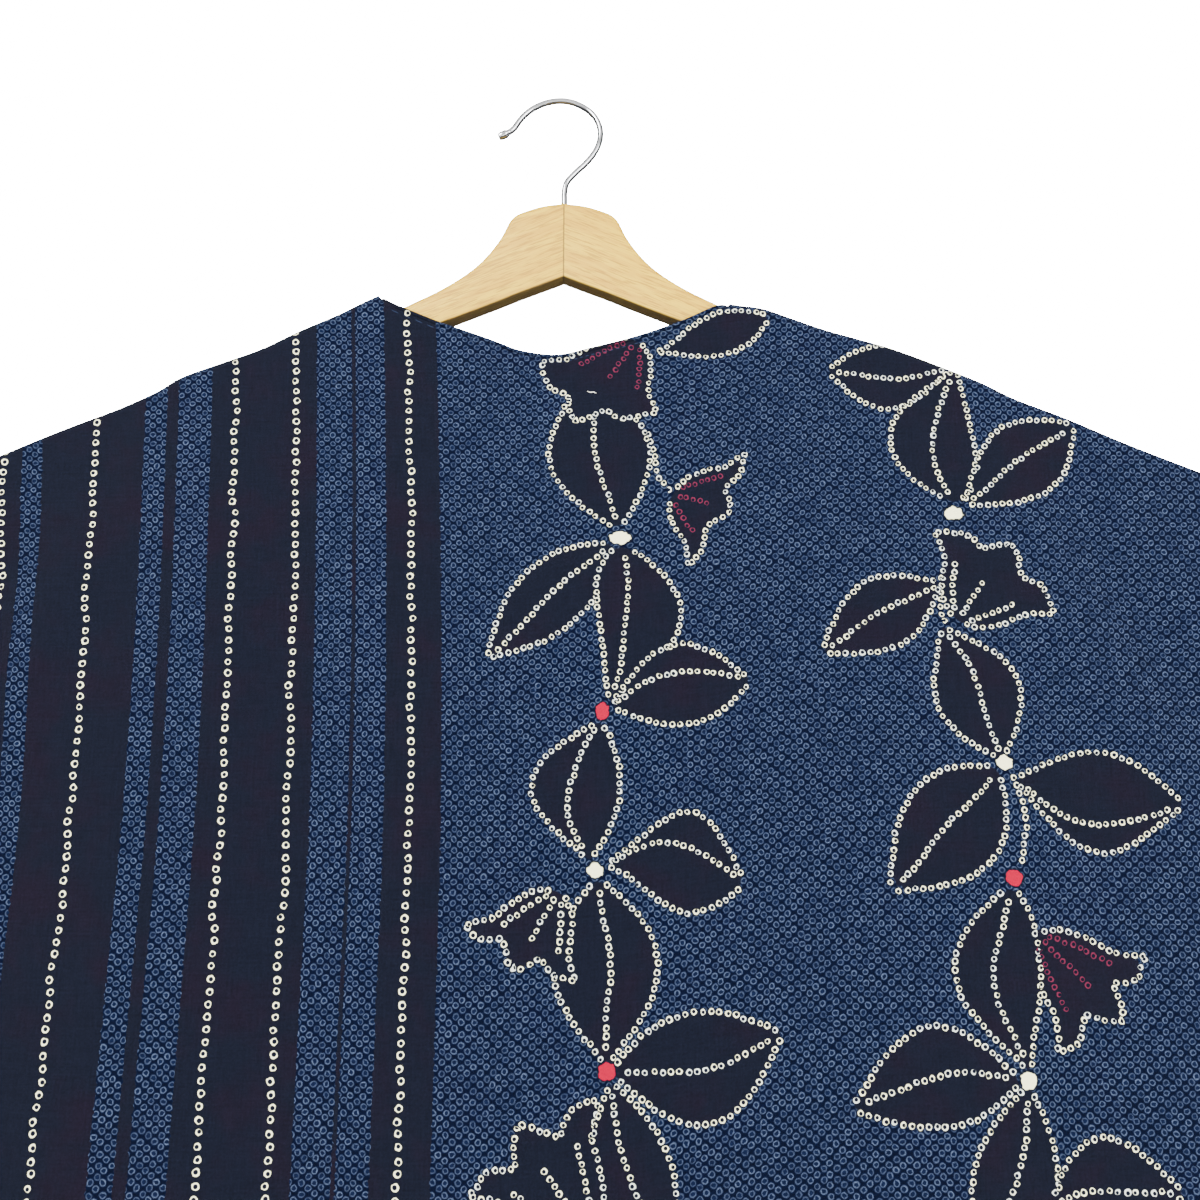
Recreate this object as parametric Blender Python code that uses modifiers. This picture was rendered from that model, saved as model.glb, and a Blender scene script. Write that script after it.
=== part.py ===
"""Kimono-style jacket hanging on a wooden hanger, its back towards -Y and its fronts towards +Y.

The jacket is one wide back, two fronts, two straight wide sleeves folded at the top, and a narrow
rolled binding round the neck and down the front edges. Each is a cloth wall of its own, parted from
its neighbours by the seam gap. The back is one width of cloth, and it is drawn as two halves with the
same gap down its middle. The hanger is two wooden arms that meet on the centre line, with a chrome
wire hook between them.

Lengths in this file are millimetres, and only the finished points are turned into metres. The origin
is the inner top of the hook, where a rail would carry it. X runs along the hanger, Z is up.
"""

import math

import bmesh
import bpy
import numpy as np
from mathutils import Vector

MM = 0.001  # one millimetre in scene units

# Cloth
WALL = 1.6  # thickness of the cloth wall
SEAM = 0.3  # gap between pieces that are sewn together
CENTRE = -5.0  # the jacket sits a little off the hook's centre line
NECK_LEFT = -100.0  # where the left shoulder seam meets the neck
NECK_RIGHT = 90.0
SIDE_LEFT = -347.0  # side seam and armhole seam, left
SIDE_RIGHT = 337.0
ARMHOLE = 270.0  # depth of the armhole below the shoulder
HEM = -918.0  # height of the hem at the centre
HEM_LIFT = 8.0  # how much higher the hem hangs at the side seams
FRONT_GAP = 36.0  # half the gap between the two front edges
SIDE_ROUND = 26.0  # the cloth turns from back to front over this width at a side seam
UNDERARM_EASE = 1.3  # the sleeve's seam stands off this much more where three seams meet
ROLL_ON_HANGER = 6.4  # half depth of the fold over the hanger's arm
ROLL_PAST_HANGER = 4.2  # and of the empty shoulder beyond it
ROLL_FLAT = 0.28  # share of that half depth that lies flat on top
ROLL_CHANGE = 24.0  # the fold narrows over this length past the arm's tip
FULL_DEPTH = 15.0  # half depth of the hanging body near its hem
DEPTH_REACH = 450.0  # distance below the shoulder at which that depth is reached
CUFF_SWELL = 9.0  # how much deeper a sleeve's middle is at its cuff
ARM_REACH = 204.0  # the hanger's arms hold the shoulders up as far as this
SLUMP = 214.0  # and the cloth has slumped off their tips by this
BINDING_RADIUS = 1.3
BINDING_GAP = 0.45  # between the binding and the cut edge beside it
CORNER_EASE = 0.8  # the binding stands off this much more where it turns over the neck points
OVER_TOP = 2.5  # half the depth in which one point carries the binding over a neck point

# How finely the cloth is drawn
TURN_ANGLES = (0, 7, 22, 42, 65, 90)  # round the turn at a side seam and at the underarm, degrees
ARMHOLE_ROWS = 5  # rows between the fold over the shoulder and the turn at the underarm
BELOW_ROWS = 8  # rows from the underarm to the hem
SLEEVE_RINGS = 11
FRONT_SPREAD = (0.2, 0.4, 0.6, 0.8, 0.93, 1.0)  # columns from the arm's tip to the front edge

# Sleeves, in the plane of the hanger
SLEEVE_OUT = 236.0  # how far the top of the cuff lies from the armhole, across
SLEEVE_SLOPE = 0.455  # the top line starts with this slope
SLEEVE_DROOP = 0.0004  # and droops by this times the distance squared
UNDERARM_OUT = 170.0  # how far the bottom of the cuff lies from the side seam, across
UNDERARM_DROP = 112.0

# Hanger
ARM_THICKNESS = 10.6
ARM_TOP_ROUND = 3.2
ARM_EDGE_ROUND = 0.8
ARM_END_ROUND = 8.0
WIRE_RADIUS = 1.7
HOOK_SINK = 26.0  # length of hook wire inside the wood
HOOK_BEAD = 1.45  # the tip is this much thicker than the wire

# Outer top line of the shoulders, and its hidden run above the neck: across, height
SHOULDER = (
    (-347.0, -233.8),
    (-295.0, -210.0),
    (-265.0, -196.4),
    (-230.0, -181.8),
    (-214.0, -174.1),
    (-204.0, -167.2),
    (-183.0, -158.7),
    (-162.0, -150.6),
    (-141.0, -139.7),
    (-120.0, -129.8),
    (-107.0, -122.7),
    (-100.0, -119.3),
    (-95.0, -116.8),
    (-88.0, -115.3),
    (-80.0, -115.0),
    (76.0, -115.0),
    (82.0, -117.0),
    (86.0, -119.8),
    (90.0, -124.0),
    (106.0, -126.5),
    (123.0, -132.6),
    (140.0, -139.0),
    (157.0, -144.2),
    (174.0, -149.4),
    (191.0, -156.0),
    (207.0, -162.8),
    (224.0, -170.2),
    (240.0, -178.4),
    (265.0, -188.8),
    (297.0, -203.6),
    (337.0, -220.6),
)

# Cut edge of the back neck, inside its binding: across, height
BACK_NECK = (
    (-96.5, -125.0),
    (-90.0, -128.4),
    (-80.0, -132.8),
    (-70.0, -137.2),
    (-49.0, -144.8),
    (-36.0, -149.8),
    (-23.0, -155.0),
    (-4.0, -157.6),
    (16.0, -153.0),
    (28.0, -150.0),
    (41.0, -146.2),
    (54.0, -141.6),
    (67.0, -136.4),
    (80.0, -130.0),
    (86.0, -127.4),
    (90.0, -124.8),
)

# Front edge: depth below the neck point, share of the way from neck point to front gap
FRONT_EDGE = ((0.0, 0.0), (40.0, 0.14), (100.0, 0.40), (180.0, 0.74), (250.0, 0.93), (310.0, 1.0))

# Folds that grow downwards and run out through the hem, in both layers:
# start across, start height, across at the hem, half width, depth at the hem (towards +Y)
HEM_FOLDS = (
    (-296.0, -500.0, -312.0, 30.0, 7.0),
    (-214.0, -300.0, -236.0, 36.0, -8.5),
    (-128.0, -380.0, -150.0, 42.0, 7.0),
    (-30.0, -440.0, -52.0, 46.0, -6.0),
    (66.0, -400.0, 70.0, 40.0, 7.5),
    (158.0, -320.0, 176.0, 38.0, -8.5),
    (232.0, -420.0, 252.0, 32.0, 7.0),
    (300.0, -520.0, 308.0, 26.0, -6.0),
)

# Slack folds that fade at both ends: layer, start across and height, end across and height,
# half width, depth (away from the jacket's middle)
SLACK_FOLDS = (
    ("back", -214.0, -185.0, -330.0, -470.0, 20.0, 3.0),
    ("back", -250.0, -210.0, -345.0, -400.0, 15.0, -2.4),
    ("back", 214.0, -180.0, 322.0, -455.0, 20.0, 3.0),
    ("back", 246.0, -200.0, 335.0, -390.0, 15.0, -2.4),
    ("back", -60.0, -165.0, 10.0, -330.0, 26.0, 1.6),
    ("front", -214.0, -185.0, -325.0, -480.0, 22.0, 4.0),
    ("front", 214.0, -180.0, 318.0, -470.0, 22.0, 4.0),
    ("front", -130.0, -170.0, -90.0, -560.0, 24.0, 4.5),
    ("front", 120.0, -165.0, 84.0, -540.0, 24.0, 4.5),
    ("both", -372.0, -300.0, -540.0, -520.0, 22.0, 4.0),
    ("both", -360.0, -400.0, -500.0, -600.0, 20.0, -4.0),
    ("both", 360.0, -290.0, 530.0, -500.0, 22.0, -4.0),
    ("both", 350.0, -390.0, 494.0, -588.0, 20.0, 4.0),
)

# Right half of the hanger: across, top, underside
ARM = (
    (0.0, -64.5, -109.6),
    (11.0, -66.0, -114.1),
    (20.0, -68.8, -117.7),
    (26.0, -71.4, -120.2),
    (29.6, -75.0, -121.8),
    (33.8, -84.0, -123.6),
    (40.4, -94.2, -126.4),
    (48.0, -102.8, -129.6),
    (59.0, -111.4, -134.1),
    (70.0, -118.2, -138.5),
    (82.0, -124.4, -143.2),
    (90.0, -128.6, -146.2),
    (100.0, -132.0, -149.6),
    (120.0, -138.2, -156.4),
    (141.0, -145.4, -163.4),
    (162.0, -153.2, -170.8),
    (183.0, -161.4, -178.2),
    (198.0, -167.6, -183.6),
)

# Centre line of the hook from the wood to its tip: across, height
HOOK = (
    (0.0, -62.0),
    (0.0, -57.0),
    (1.2, -50.0),
    (6.0, -43.8),
    (12.0, -37.6),
    (17.0, -30.6),
    (19.6, -23.8),
    (20.0, -17.4),
    (18.4, -11.4),
    (15.2, -6.4),
    (10.6, -2.5),
    (4.4, 0.6),
    (-2.4, 1.7),
    (-10.0, 0.6),
    (-17.0, -2.6),
    (-22.4, -7.0),
    (-26.0, -11.6),
    (-28.6, -15.8),
    (-32.0, -18.6),
    (-37.6, -21.4),
)


def clear_scene():
    for item in list(bpy.data.objects):
        bpy.data.objects.remove(item)
    for name in ("kimono_jacket_on_hanger", "cutters"):
        old = bpy.data.collections.get(name)
        if old:
            bpy.data.collections.remove(old)


def new_collection(name):
    collection = bpy.data.collections.new(name)
    bpy.context.scene.collection.children.link(collection)
    return collection


def material(name, color, roughness, metallic=0.0):
    made = bpy.data.materials.new(name)
    made.use_nodes = True
    shader = made.node_tree.nodes["Principled BSDF"]
    shader.inputs["Base Color"].default_value = (*color, 1.0)
    shader.inputs["Roughness"].default_value = roughness
    shader.inputs["Metallic"].default_value = metallic
    return made


def smooth(value):
    """0 below 0, 1 above 1, and an easy curve between."""
    t = min(max(value, 0.0), 1.0)
    return t * t * (3.0 - 2.0 * t)


def line_through(rows, column=1):
    """A smooth line through a table, as a function of its first column, with no overshoot."""
    xs = np.array([row[0] for row in rows])
    ys = np.array([row[column] for row in rows])
    steps = np.diff(ys) / np.diff(xs)
    slopes = np.zeros(len(xs))
    slopes[0], slopes[-1] = steps[0], steps[-1]
    for k in range(1, len(xs) - 1):
        before, after = steps[k - 1], steps[k]
        if before * after > 0:
            slopes[k] = 2.0 * before * after / (before + after)

    def at(x):
        if x <= xs[0]:
            return float(ys[0] + slopes[0] * (x - xs[0]))
        if x >= xs[-1]:
            return float(ys[-1] + slopes[-1] * (x - xs[-1]))
        k = int(np.searchsorted(xs, x, side="right")) - 1
        width = xs[k + 1] - xs[k]
        t = (x - xs[k]) / width
        start = (1 + 2 * t) * (1 - t) ** 2 * ys[k] + t * (1 - t) ** 2 * width * slopes[k]
        end = t * t * (3 - 2 * t) * ys[k + 1] + t * t * (t - 1) * width * slopes[k + 1]
        return float(start + end)

    return at


shoulder_line = line_through(SHOULDER)
back_neck_line = line_through(BACK_NECK)
front_edge_share = line_through(FRONT_EDGE)


def ridge(x):
    """Height of the middle of the wall along the shoulder seam."""
    return shoulder_line(x) - WALL / 2


def side_of(x):
    return SIDE_LEFT if x < CENTRE else SIDE_RIGHT


def roll_radius(x):
    """Half depth of the fold at the shoulder: full over the hanger's arms, less beyond their tips."""
    past = smooth((abs(x) - SLUMP) / ROLL_CHANGE)
    return ROLL_ON_HANGER + (ROLL_PAST_HANGER - ROLL_ON_HANGER) * past


def roll(s, radius):
    """Half depth and drop at distance s along the cloth from the shoulder seam: flat, arc, then down."""
    flat = ROLL_FLAT * radius
    bend = radius - flat
    if s <= flat:
        return s, 0.0
    angle = (s - flat) / bend
    if angle < math.pi / 2:
        return flat + bend * math.sin(angle), bend * (1.0 - math.cos(angle))
    return radius, bend + (s - flat - bend * math.pi / 2)


def roll_rows(radius):
    """Distances from the seam at which the fold over the shoulder is drawn."""
    flat = ROLL_FLAT * radius
    bend = radius - flat
    return [0.0] + [flat + bend * math.pi / 2 * share for share in (0.0, 1 / 3, 2 / 3, 1.0)]


def distance_at_drop(drop, radius):
    """The distance along the cloth at which it has come down by drop."""
    flat = ROLL_FLAT * radius
    bend = radius - flat
    if drop <= 0.0:
        return 0.0
    if drop < bend:
        return flat + bend * math.acos(1.0 - drop / bend)
    return flat + bend * math.pi / 2 + drop - bend


def half_circle(distance, reach):
    """0 at a closed seam, rising to 1 as an ellipse's quarter over reach."""
    t = min(max(distance / reach, 0.0), 1.0)
    return math.sqrt(max(0.0, 1.0 - (1.0 - t) ** 2))


def hem_fold_depth(x, z):
    total = 0.0
    for start_x, start_z, hem_x, half_width, depth in HEM_FOLDS:
        along = (start_z - z) / (start_z - HEM)
        if along <= 0.0:
            continue
        middle = start_x + (hem_x - start_x) * along
        width = half_width * (0.75 + 0.25 * along)
        total += depth * smooth(along) * math.exp(-(((x - middle) / width) ** 2))
    return total


def slack_fold_depth(x, z, layers):
    total = 0.0
    for layer, start_x, start_z, end_x, end_z, half_width, depth in SLACK_FOLDS:
        if layer not in layers:
            continue
        run_x, run_z = end_x - start_x, end_z - start_z
        length = math.hypot(run_x, run_z)
        along = ((x - start_x) * run_x + (z - start_z) * run_z) / length**2
        if not 0.0 < along < 1.0:
            continue
        across = ((x - start_x) * run_z - (z - start_z) * run_x) / length
        total += depth * math.sin(math.pi * along) ** 1.5 * math.exp(-((across / half_width) ** 2))
    return total


def body_point(x, s, layer):
    """A point of the body's cloth: x across, s along the cloth from the shoulder seam."""
    side = side_of(x)
    radius = roll_radius(x)
    depth, drop = roll(s, radius)
    z = ridge(x) - drop
    depth += (FULL_DEPTH - radius) * smooth((s - radius) / DEPTH_REACH) if s > radius else 0.0
    depth += slack_fold_depth(x, z, (layer,))
    above_underarm = z - (ridge(side) - ARMHOLE)
    closed = half_circle(math.hypot(abs(side - x), max(0.0, above_underarm)), SIDE_ROUND)
    ease = SEAM * (1.0 - closed) * max(0.0, 1.0 - abs(above_underarm) / SIDE_ROUND)
    sign = -1.0 if layer == "back" else 1.0
    sway = hem_fold_depth(x, z) + slack_fold_depth(x, z, ("both",))
    return x, sign * (SEAM / 2 + ease + depth * closed) + sway, z


def hem_height(x):
    return HEM + HEM_LIFT * ((x - CENTRE) / (SIDE_RIGHT - CENTRE)) ** 2


def side_steps():
    """Distances in from a side seam where its rounded turn is drawn."""
    return [SIDE_ROUND * (1.0 - math.cos(math.radians(angle))) for angle in TURN_ANGLES]


def between(start, end, count):
    """Inner points of a stretch, without its ends."""
    return list(np.linspace(start, end, count + 2)[1:-1])


def row_distances(x, start):
    """Distances along the cloth of one column's rows, from its top edge to the hem."""
    radius = roll_radius(x)
    rolled = [start + s for s in roll_rows(radius)]
    end = distance_at_drop(ridge(x) - hem_height(x), radius)
    side = side_of(x)
    side_start = roll_rows(roll_radius(side))[-1]
    side_end = distance_at_drop(ridge(side) - hem_height(side), roll_radius(side))
    underarm = distance_at_drop(ARMHOLE, roll_radius(side))
    turn = [underarm - step for step in reversed(side_steps())]
    lower = between(side_start, turn[0], ARMHOLE_ROWS) + turn + between(underarm, side_end, BELOW_ROWS - 1)
    shares = [(s - side_start) / (side_end - side_start) for s in lower] + [1.0]
    return rolled + [rolled[-1] + (end - rolled[-1]) * share for share in shares]


def cloth_object(name, columns, collection, finish, wrap=False):
    """A cloth wall through a grid of points: columns of equal length, in millimetres."""
    bm = bmesh.new()
    across, down = len(columns) - 1, len(columns[0]) - 1
    bmesh.ops.create_grid(bm, x_segments=across, y_segments=down, size=1.0)
    for vert in bm.verts:
        i = round((vert.co.x + 1.0) / 2.0 * across)
        j = round((vert.co.y + 1.0) / 2.0 * down)
        vert.co = Vector(columns[i][j]) * MM
    if wrap:
        bmesh.ops.remove_doubles(bm, verts=bm.verts, dist=0.01 * MM)
    mesh = bpy.data.meshes.new(name)
    bm.to_mesh(mesh)
    bm.free()
    mesh.shade_smooth()
    mesh.materials.append(finish)
    made = bpy.data.objects.new(name, mesh)
    collection.objects.link(made)
    wall = made.modifiers.new("wall", "SOLIDIFY")
    wall.thickness = WALL * MM
    wall.offset = 0.0
    wall.use_even_offset = True
    return made


def back_columns():
    """Columns of the back from the left side seam to the right one."""
    across = [SIDE_LEFT + step for step in side_steps()]
    across += between(across[-1], -SLUMP, 3) + [-SLUMP, -ARM_REACH]
    across += between(-ARM_REACH, NECK_LEFT, 5) + [NECK_LEFT, -96.5, -90.0]
    middle = [CENTRE - SEAM / 2, CENTRE + SEAM / 2]
    across += between(-90.0, middle[0], 4) + middle + between(middle[1], 80.0, 4)
    across += [80.0, 86.0, 87.5, 89.0, NECK_RIGHT]
    across += between(NECK_RIGHT, ARM_REACH, 5) + [ARM_REACH, SLUMP]
    turn = [SIDE_RIGHT - step for step in reversed(side_steps())]
    across += between(SLUMP, turn[0], 3) + turn
    columns = []
    for x in across:
        start = 0.0
        if NECK_LEFT < x < NECK_RIGHT:
            start = distance_at_drop(ridge(x) - back_neck_line(x), roll_radius(x))
        columns.append([body_point(x, s, "back") for s in row_distances(x, start)])
    return columns


def front_edge_x(s, neck):
    gap = CENTRE + math.copysign(FRONT_GAP, neck - CENTRE)
    share = front_edge_share(s) if s < FRONT_EDGE[-1][0] else 1.0
    return neck + (gap - neck) * share


def front_columns(neck):
    """Columns of one front from its side seam to its front edge."""
    side = side_of(neck)
    inward = math.copysign(1.0, neck - side)
    fixed = [side + inward * step for step in side_steps()]
    slump, tip = math.copysign(SLUMP, side), math.copysign(ARM_REACH, side)
    fixed += between(fixed[-1], slump, 3) + [slump, tip]
    columns = [[body_point(x, s, "front") for s in row_distances(x, 0.0)] for x in fixed]
    for share in FRONT_SPREAD:
        column = []
        for row, along in enumerate(row_distances(neck, 0.0)):
            edge = front_edge_x(along, neck)
            x = tip + (edge - tip) * share
            column.append(body_point(x, row_distances(x, 0.0)[row], "front"))
        columns.append(column)
    return columns


def sleeve_point(out, s, side, layer):
    """A point of a sleeve: out is 0 at the armhole and 1 at the cuff, s runs down from its top fold."""
    sign = math.copysign(1.0, side)
    top_x = out * SLEEVE_OUT
    top_z = ridge(side) - SLEEVE_SLOPE * top_x - SLEEVE_DROOP * top_x**2
    low_x = out * UNDERARM_OUT
    low_z = ridge(side) - ARMHOLE - UNDERARM_DROP * out
    depth, drop = roll(s, ROLL_PAST_HANGER)
    share = drop / ARMHOLE
    closed = half_circle(ARMHOLE - drop, SIDE_ROUND)
    x = side + sign * (SEAM + UNDERARM_EASE * (1.0 - closed) + top_x + (low_x - top_x) * share)
    z = top_z + (low_z - top_z) * share
    if s > ROLL_PAST_HANGER:
        depth += (FULL_DEPTH - ROLL_PAST_HANGER) * smooth((s - ROLL_PAST_HANGER) / DEPTH_REACH)
    depth += CUFF_SWELL * smooth(out) * math.sin(math.pi * min(share, 1.0))
    depth += slack_fold_depth(x, z, (layer,))
    sway = hem_fold_depth(x, z) + slack_fold_depth(x, z, ("both",))
    return x, (-1.0 if layer == "back" else 1.0) * depth * closed + sway, z


def sleeve_columns(side):
    """Rings of a sleeve from the armhole to the cuff, each closed at the underarm seam."""
    end = distance_at_drop(ARMHOLE, ROLL_PAST_HANGER)
    top = roll_rows(ROLL_PAST_HANGER)
    low = [end - step for step in reversed(side_steps())]
    down = top + between(top[-1], low[0], 6) + low
    rings = []
    for out in np.linspace(0.0, 1.0, SLEEVE_RINGS):
        back = [sleeve_point(out, s, side, "back") for s in reversed(down)]
        front = [sleeve_point(out, s, side, "front") for s in down[1:]]
        rings.append(back + front)
    return rings


def outward_from(edge, inner, before, after):
    """The edge point moved off the cloth, square to the edge, to the middle of the binding.

    It also moves out of the jacket, so that the binding is flush with the wall's inner face.
    """
    edge, inner = Vector(edge), Vector(inner)
    run = (Vector(after) - Vector(before)).normalized()
    into = inner - edge
    into -= into.dot(run) * run
    proud = Vector((0.0, math.copysign(BINDING_RADIUS - WALL / 2, edge.y), 0.0))
    return edge - into.normalized() * (BINDING_GAP + BINDING_RADIUS) + proud


def edge_route(edges, inners):
    """The binding's route beside one edge of the cloth."""
    last = len(edges) - 1
    return [
        outward_from(edges[k], inners[k], edges[max(k - 1, 0)], edges[min(k + 1, last)])
        for k in range(last + 1)
    ]


def binding_route(back, front_left, front_right):
    """Up the left front edge, round the back neck and down the right front edge."""
    neck = [c for c in back if NECK_LEFT < c[0][0] < NECK_RIGHT]
    neck = [c for c in neck if not CENTRE < c[0][0] < CENTRE + SEAM]
    round_back = edge_route([c[0] for c in neck], [c[1] for c in neck])
    left = edge_route(front_left[-1], front_left[-2])
    right = edge_route(front_right[-1], front_right[-2])
    clear = BINDING_GAP + BINDING_RADIUS + CORNER_EASE
    proud = BINDING_RADIUS - WALL / 2
    over_left = Vector((NECK_LEFT + clear, 0.0, ridge(NECK_LEFT) + proud))
    over_right = Vector((NECK_RIGHT - clear, 0.0, ridge(NECK_RIGHT) + proud))
    left = [p for p in left if p.y > OVER_TOP]
    right = [p for p in right if p.y > OVER_TOP]
    round_back = [p for p in round_back if p.y < -OVER_TOP]
    return list(reversed(left)) + [over_left] + round_back + [over_right] + right


def tube(name, points, radius, collection, finish, swell=None):
    """A round tube through points, with closed ends."""
    curve = bpy.data.curves.new(name, "CURVE")
    curve.dimensions = "3D"
    curve.bevel_depth = radius * MM
    curve.bevel_resolution = 2
    curve.use_fill_caps = True
    spline = curve.splines.new("POLY")
    spline.points.add(len(points) - 1)
    for k, point in enumerate(points):
        spline.points[k].co = (*(Vector(point) * MM), 1.0)
        spline.points[k].radius = swell[k] if swell else 1.0
    curve.materials.append(finish)
    made = bpy.data.objects.new(name, curve)
    collection.objects.link(made)
    return made


def curve_through(rows, step):
    """Points about a step apart on a smooth curve through a table's rows."""
    points = [Vector((x, 0.0, z)) for x, z in rows]
    made = []
    for k in range(len(points) - 1):
        a, b = points[max(k - 1, 0)], points[k]
        c, d = points[k + 1], points[min(k + 2, len(points) - 1)]
        count = max(1, round((c - b).length / step))
        for n in range(count):
            t = n / count
            bend = (2 * a - 5 * b + 4 * c - d) * t * t + (3 * b - a - 3 * c + d) * t**3
            made.append(0.5 * (2 * b + (c - a) * t + bend))
    return made + [points[-1]]


def hanger_arm(name, sign, collection, finish, bore):
    """Half of the hanger, cut from a board to the outline of the table, its top edges rounded."""
    top_line, low_line = line_through(ARM, 1), line_through(ARM, 2)
    tip = ARM[-1][0]
    stations = [SEAM / 2] + [row[0] for row in ARM[1:-1]] + between(ARM[-2][0], tip, 1) + [tip]
    top = [(x, top_line(x)) for x in stations]
    low = [(x, low_line(x)) for x in stations]
    middle = (top[-1][1] + low[-1][1]) / 2
    half = (top[-1][1] - low[-1][1]) / 2
    end = []
    for angle in range(60, -61, -30):
        turn = math.radians(angle)
        end.append((tip + ARM_END_ROUND * math.cos(turn), middle + half * math.sin(turn)))
    outline = top + end + list(reversed(low))
    bm = bmesh.new()
    verts = [bm.verts.new(Vector((sign * x, -ARM_THICKNESS / 2, z)) * MM) for x, z in outline]
    face = bm.faces.new(verts)
    moved = bmesh.ops.extrude_face_region(bm, geom=[face])["geom"]
    new_verts = [item for item in moved if isinstance(item, bmesh.types.BMVert)]
    bmesh.ops.translate(bm, verts=new_verts, vec=(0.0, ARM_THICKNESS * MM, 0.0))
    bmesh.ops.recalc_face_normals(bm, faces=bm.faces)
    bm.normal_update()

    def long_edges(wanted):
        """Edges along the outline on both faces whose side wall looks up, or down."""
        found = []
        for edge in bm.edges:
            a, b = edge.verts
            flat = abs(a.co.y - b.co.y) < 0.01 * MM
            walls = [f for f in edge.link_faces if abs(f.normal.y) < 0.5]
            inner = min(abs(a.co.x), abs(b.co.x)) < SEAM * MM and abs(a.co.x - b.co.x) < 0.01 * MM
            if flat and walls and not inner and (walls[0].normal.z > 0.1) == wanted:
                found.append(edge)
        return found

    bmesh.ops.bevel(
        bm, geom=long_edges(True), offset=ARM_TOP_ROUND * MM, offset_type="OFFSET",
        segments=3, profile=0.5, affect="EDGES", material=-1,
    )
    bmesh.ops.bevel(
        bm, geom=long_edges(False), offset=ARM_EDGE_ROUND * MM, offset_type="OFFSET",
        segments=1, profile=0.5, affect="EDGES", material=-1,
    )
    mesh = bpy.data.meshes.new(name)
    bm.to_mesh(mesh)
    bm.free()
    mesh.materials.append(finish)
    mesh.shade_smooth()
    mesh.set_sharp_from_angle(angle=math.radians(35))
    made = bpy.data.objects.new(name, mesh)
    collection.objects.link(made)
    cut = made.modifiers.new("hook bore", "BOOLEAN")
    cut.operation = "DIFFERENCE"
    cut.object = bore
    return made


def hook_bore(collection):
    """Cutter for the bore that the hook's wire stands in."""
    bm = bmesh.new()
    reach = 10.0
    depth = HOOK_SINK + SEAM + reach
    bmesh.ops.create_cone(
        bm, cap_ends=True, segments=16, radius1=(WIRE_RADIUS + SEAM) * MM,
        radius2=(WIRE_RADIUS + SEAM) * MM, depth=depth * MM,
    )
    top = ARM[0][1] + reach
    bmesh.ops.translate(bm, verts=bm.verts, vec=(0.0, 0.0, (top - depth / 2) * MM))
    mesh = bpy.data.meshes.new("hook_bore")
    bm.to_mesh(mesh)
    bm.free()
    made = bpy.data.objects.new("hook_bore", mesh)
    made.hide_render = True
    made.display_type = "WIRE"
    collection.objects.link(made)
    return made


def hanger_hook(collection, finish):
    points = [Vector((0.0, 0.0, ARM[0][1] - HOOK_SINK))] + curve_through(HOOK, 4.0)
    swell = [1.0] * len(points)
    swell[-2:] = [HOOK_BEAD, 0.9]
    points.insert(-1, points[-2].lerp(points[-1], 0.5))
    swell.insert(-2, 1.0)
    return tube("hanger_hook", points, WIRE_RADIUS, collection, finish, swell)


def build():
    clear_scene()
    parts = new_collection("kimono_jacket_on_hanger")
    cutters = new_collection("cutters")
    cotton = material("indigo_cotton", (0.022, 0.042, 0.105), 0.92)
    binding_cotton = material("binding_cotton", (0.012, 0.012, 0.030), 0.92)
    wood = material("pale_wood", (0.76, 0.57, 0.28), 0.55)
    chrome = material("chrome_wire", (0.78, 0.79, 0.80), 0.12, 1.0)

    back = back_columns()
    front_left = front_columns(NECK_LEFT)
    front_right = front_columns(NECK_RIGHT)
    half = sum(1 for column in back if column[0][0] < CENTRE)
    cloth_object("back_left", back[:half], parts, cotton)
    cloth_object("back_right", back[half:], parts, cotton)
    cloth_object("front_left", front_left, parts, cotton)
    cloth_object("front_right", front_right, parts, cotton)
    cloth_object("sleeve_left", sleeve_columns(SIDE_LEFT), parts, cotton, wrap=True)
    cloth_object("sleeve_right", sleeve_columns(SIDE_RIGHT), parts, cotton, wrap=True)
    route = binding_route(back, front_left, front_right)
    tube("neck_binding", route, BINDING_RADIUS, parts, binding_cotton)

    bore = hook_bore(cutters)
    hanger_arm("hanger_arm_left", -1.0, parts, wood, bore)
    hanger_arm("hanger_arm_right", 1.0, parts, wood, bore)
    hanger_hook(parts, chrome)


build()
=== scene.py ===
# %% [markdown]
# # An indigo kimono jacket on a wooden hanger
#
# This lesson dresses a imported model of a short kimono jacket. The model has the right sizes but plain
# surfaces, so each cell below replaces one of its pieces with a finished one in the same place.
# Everything is in metres, the origin is the inner top of the hook, and the jacket's back faces -Y.

import math

import bmesh
import bpy
import numpy as np
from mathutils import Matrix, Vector


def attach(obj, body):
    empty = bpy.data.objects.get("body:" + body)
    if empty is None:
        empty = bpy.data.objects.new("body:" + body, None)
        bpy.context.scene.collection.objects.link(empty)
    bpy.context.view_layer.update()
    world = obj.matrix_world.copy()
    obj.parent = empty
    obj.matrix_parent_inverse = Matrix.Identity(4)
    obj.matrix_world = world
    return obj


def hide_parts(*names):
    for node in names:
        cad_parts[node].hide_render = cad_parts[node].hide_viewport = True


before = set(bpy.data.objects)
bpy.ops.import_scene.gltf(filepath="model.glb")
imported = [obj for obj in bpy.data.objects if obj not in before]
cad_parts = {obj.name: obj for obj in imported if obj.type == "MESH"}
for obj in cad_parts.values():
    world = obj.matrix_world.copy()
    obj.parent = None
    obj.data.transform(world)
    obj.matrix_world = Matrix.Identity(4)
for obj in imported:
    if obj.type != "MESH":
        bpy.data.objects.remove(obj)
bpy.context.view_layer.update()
MM = 0.001
print("packed nodes:", sorted(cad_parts))

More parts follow.
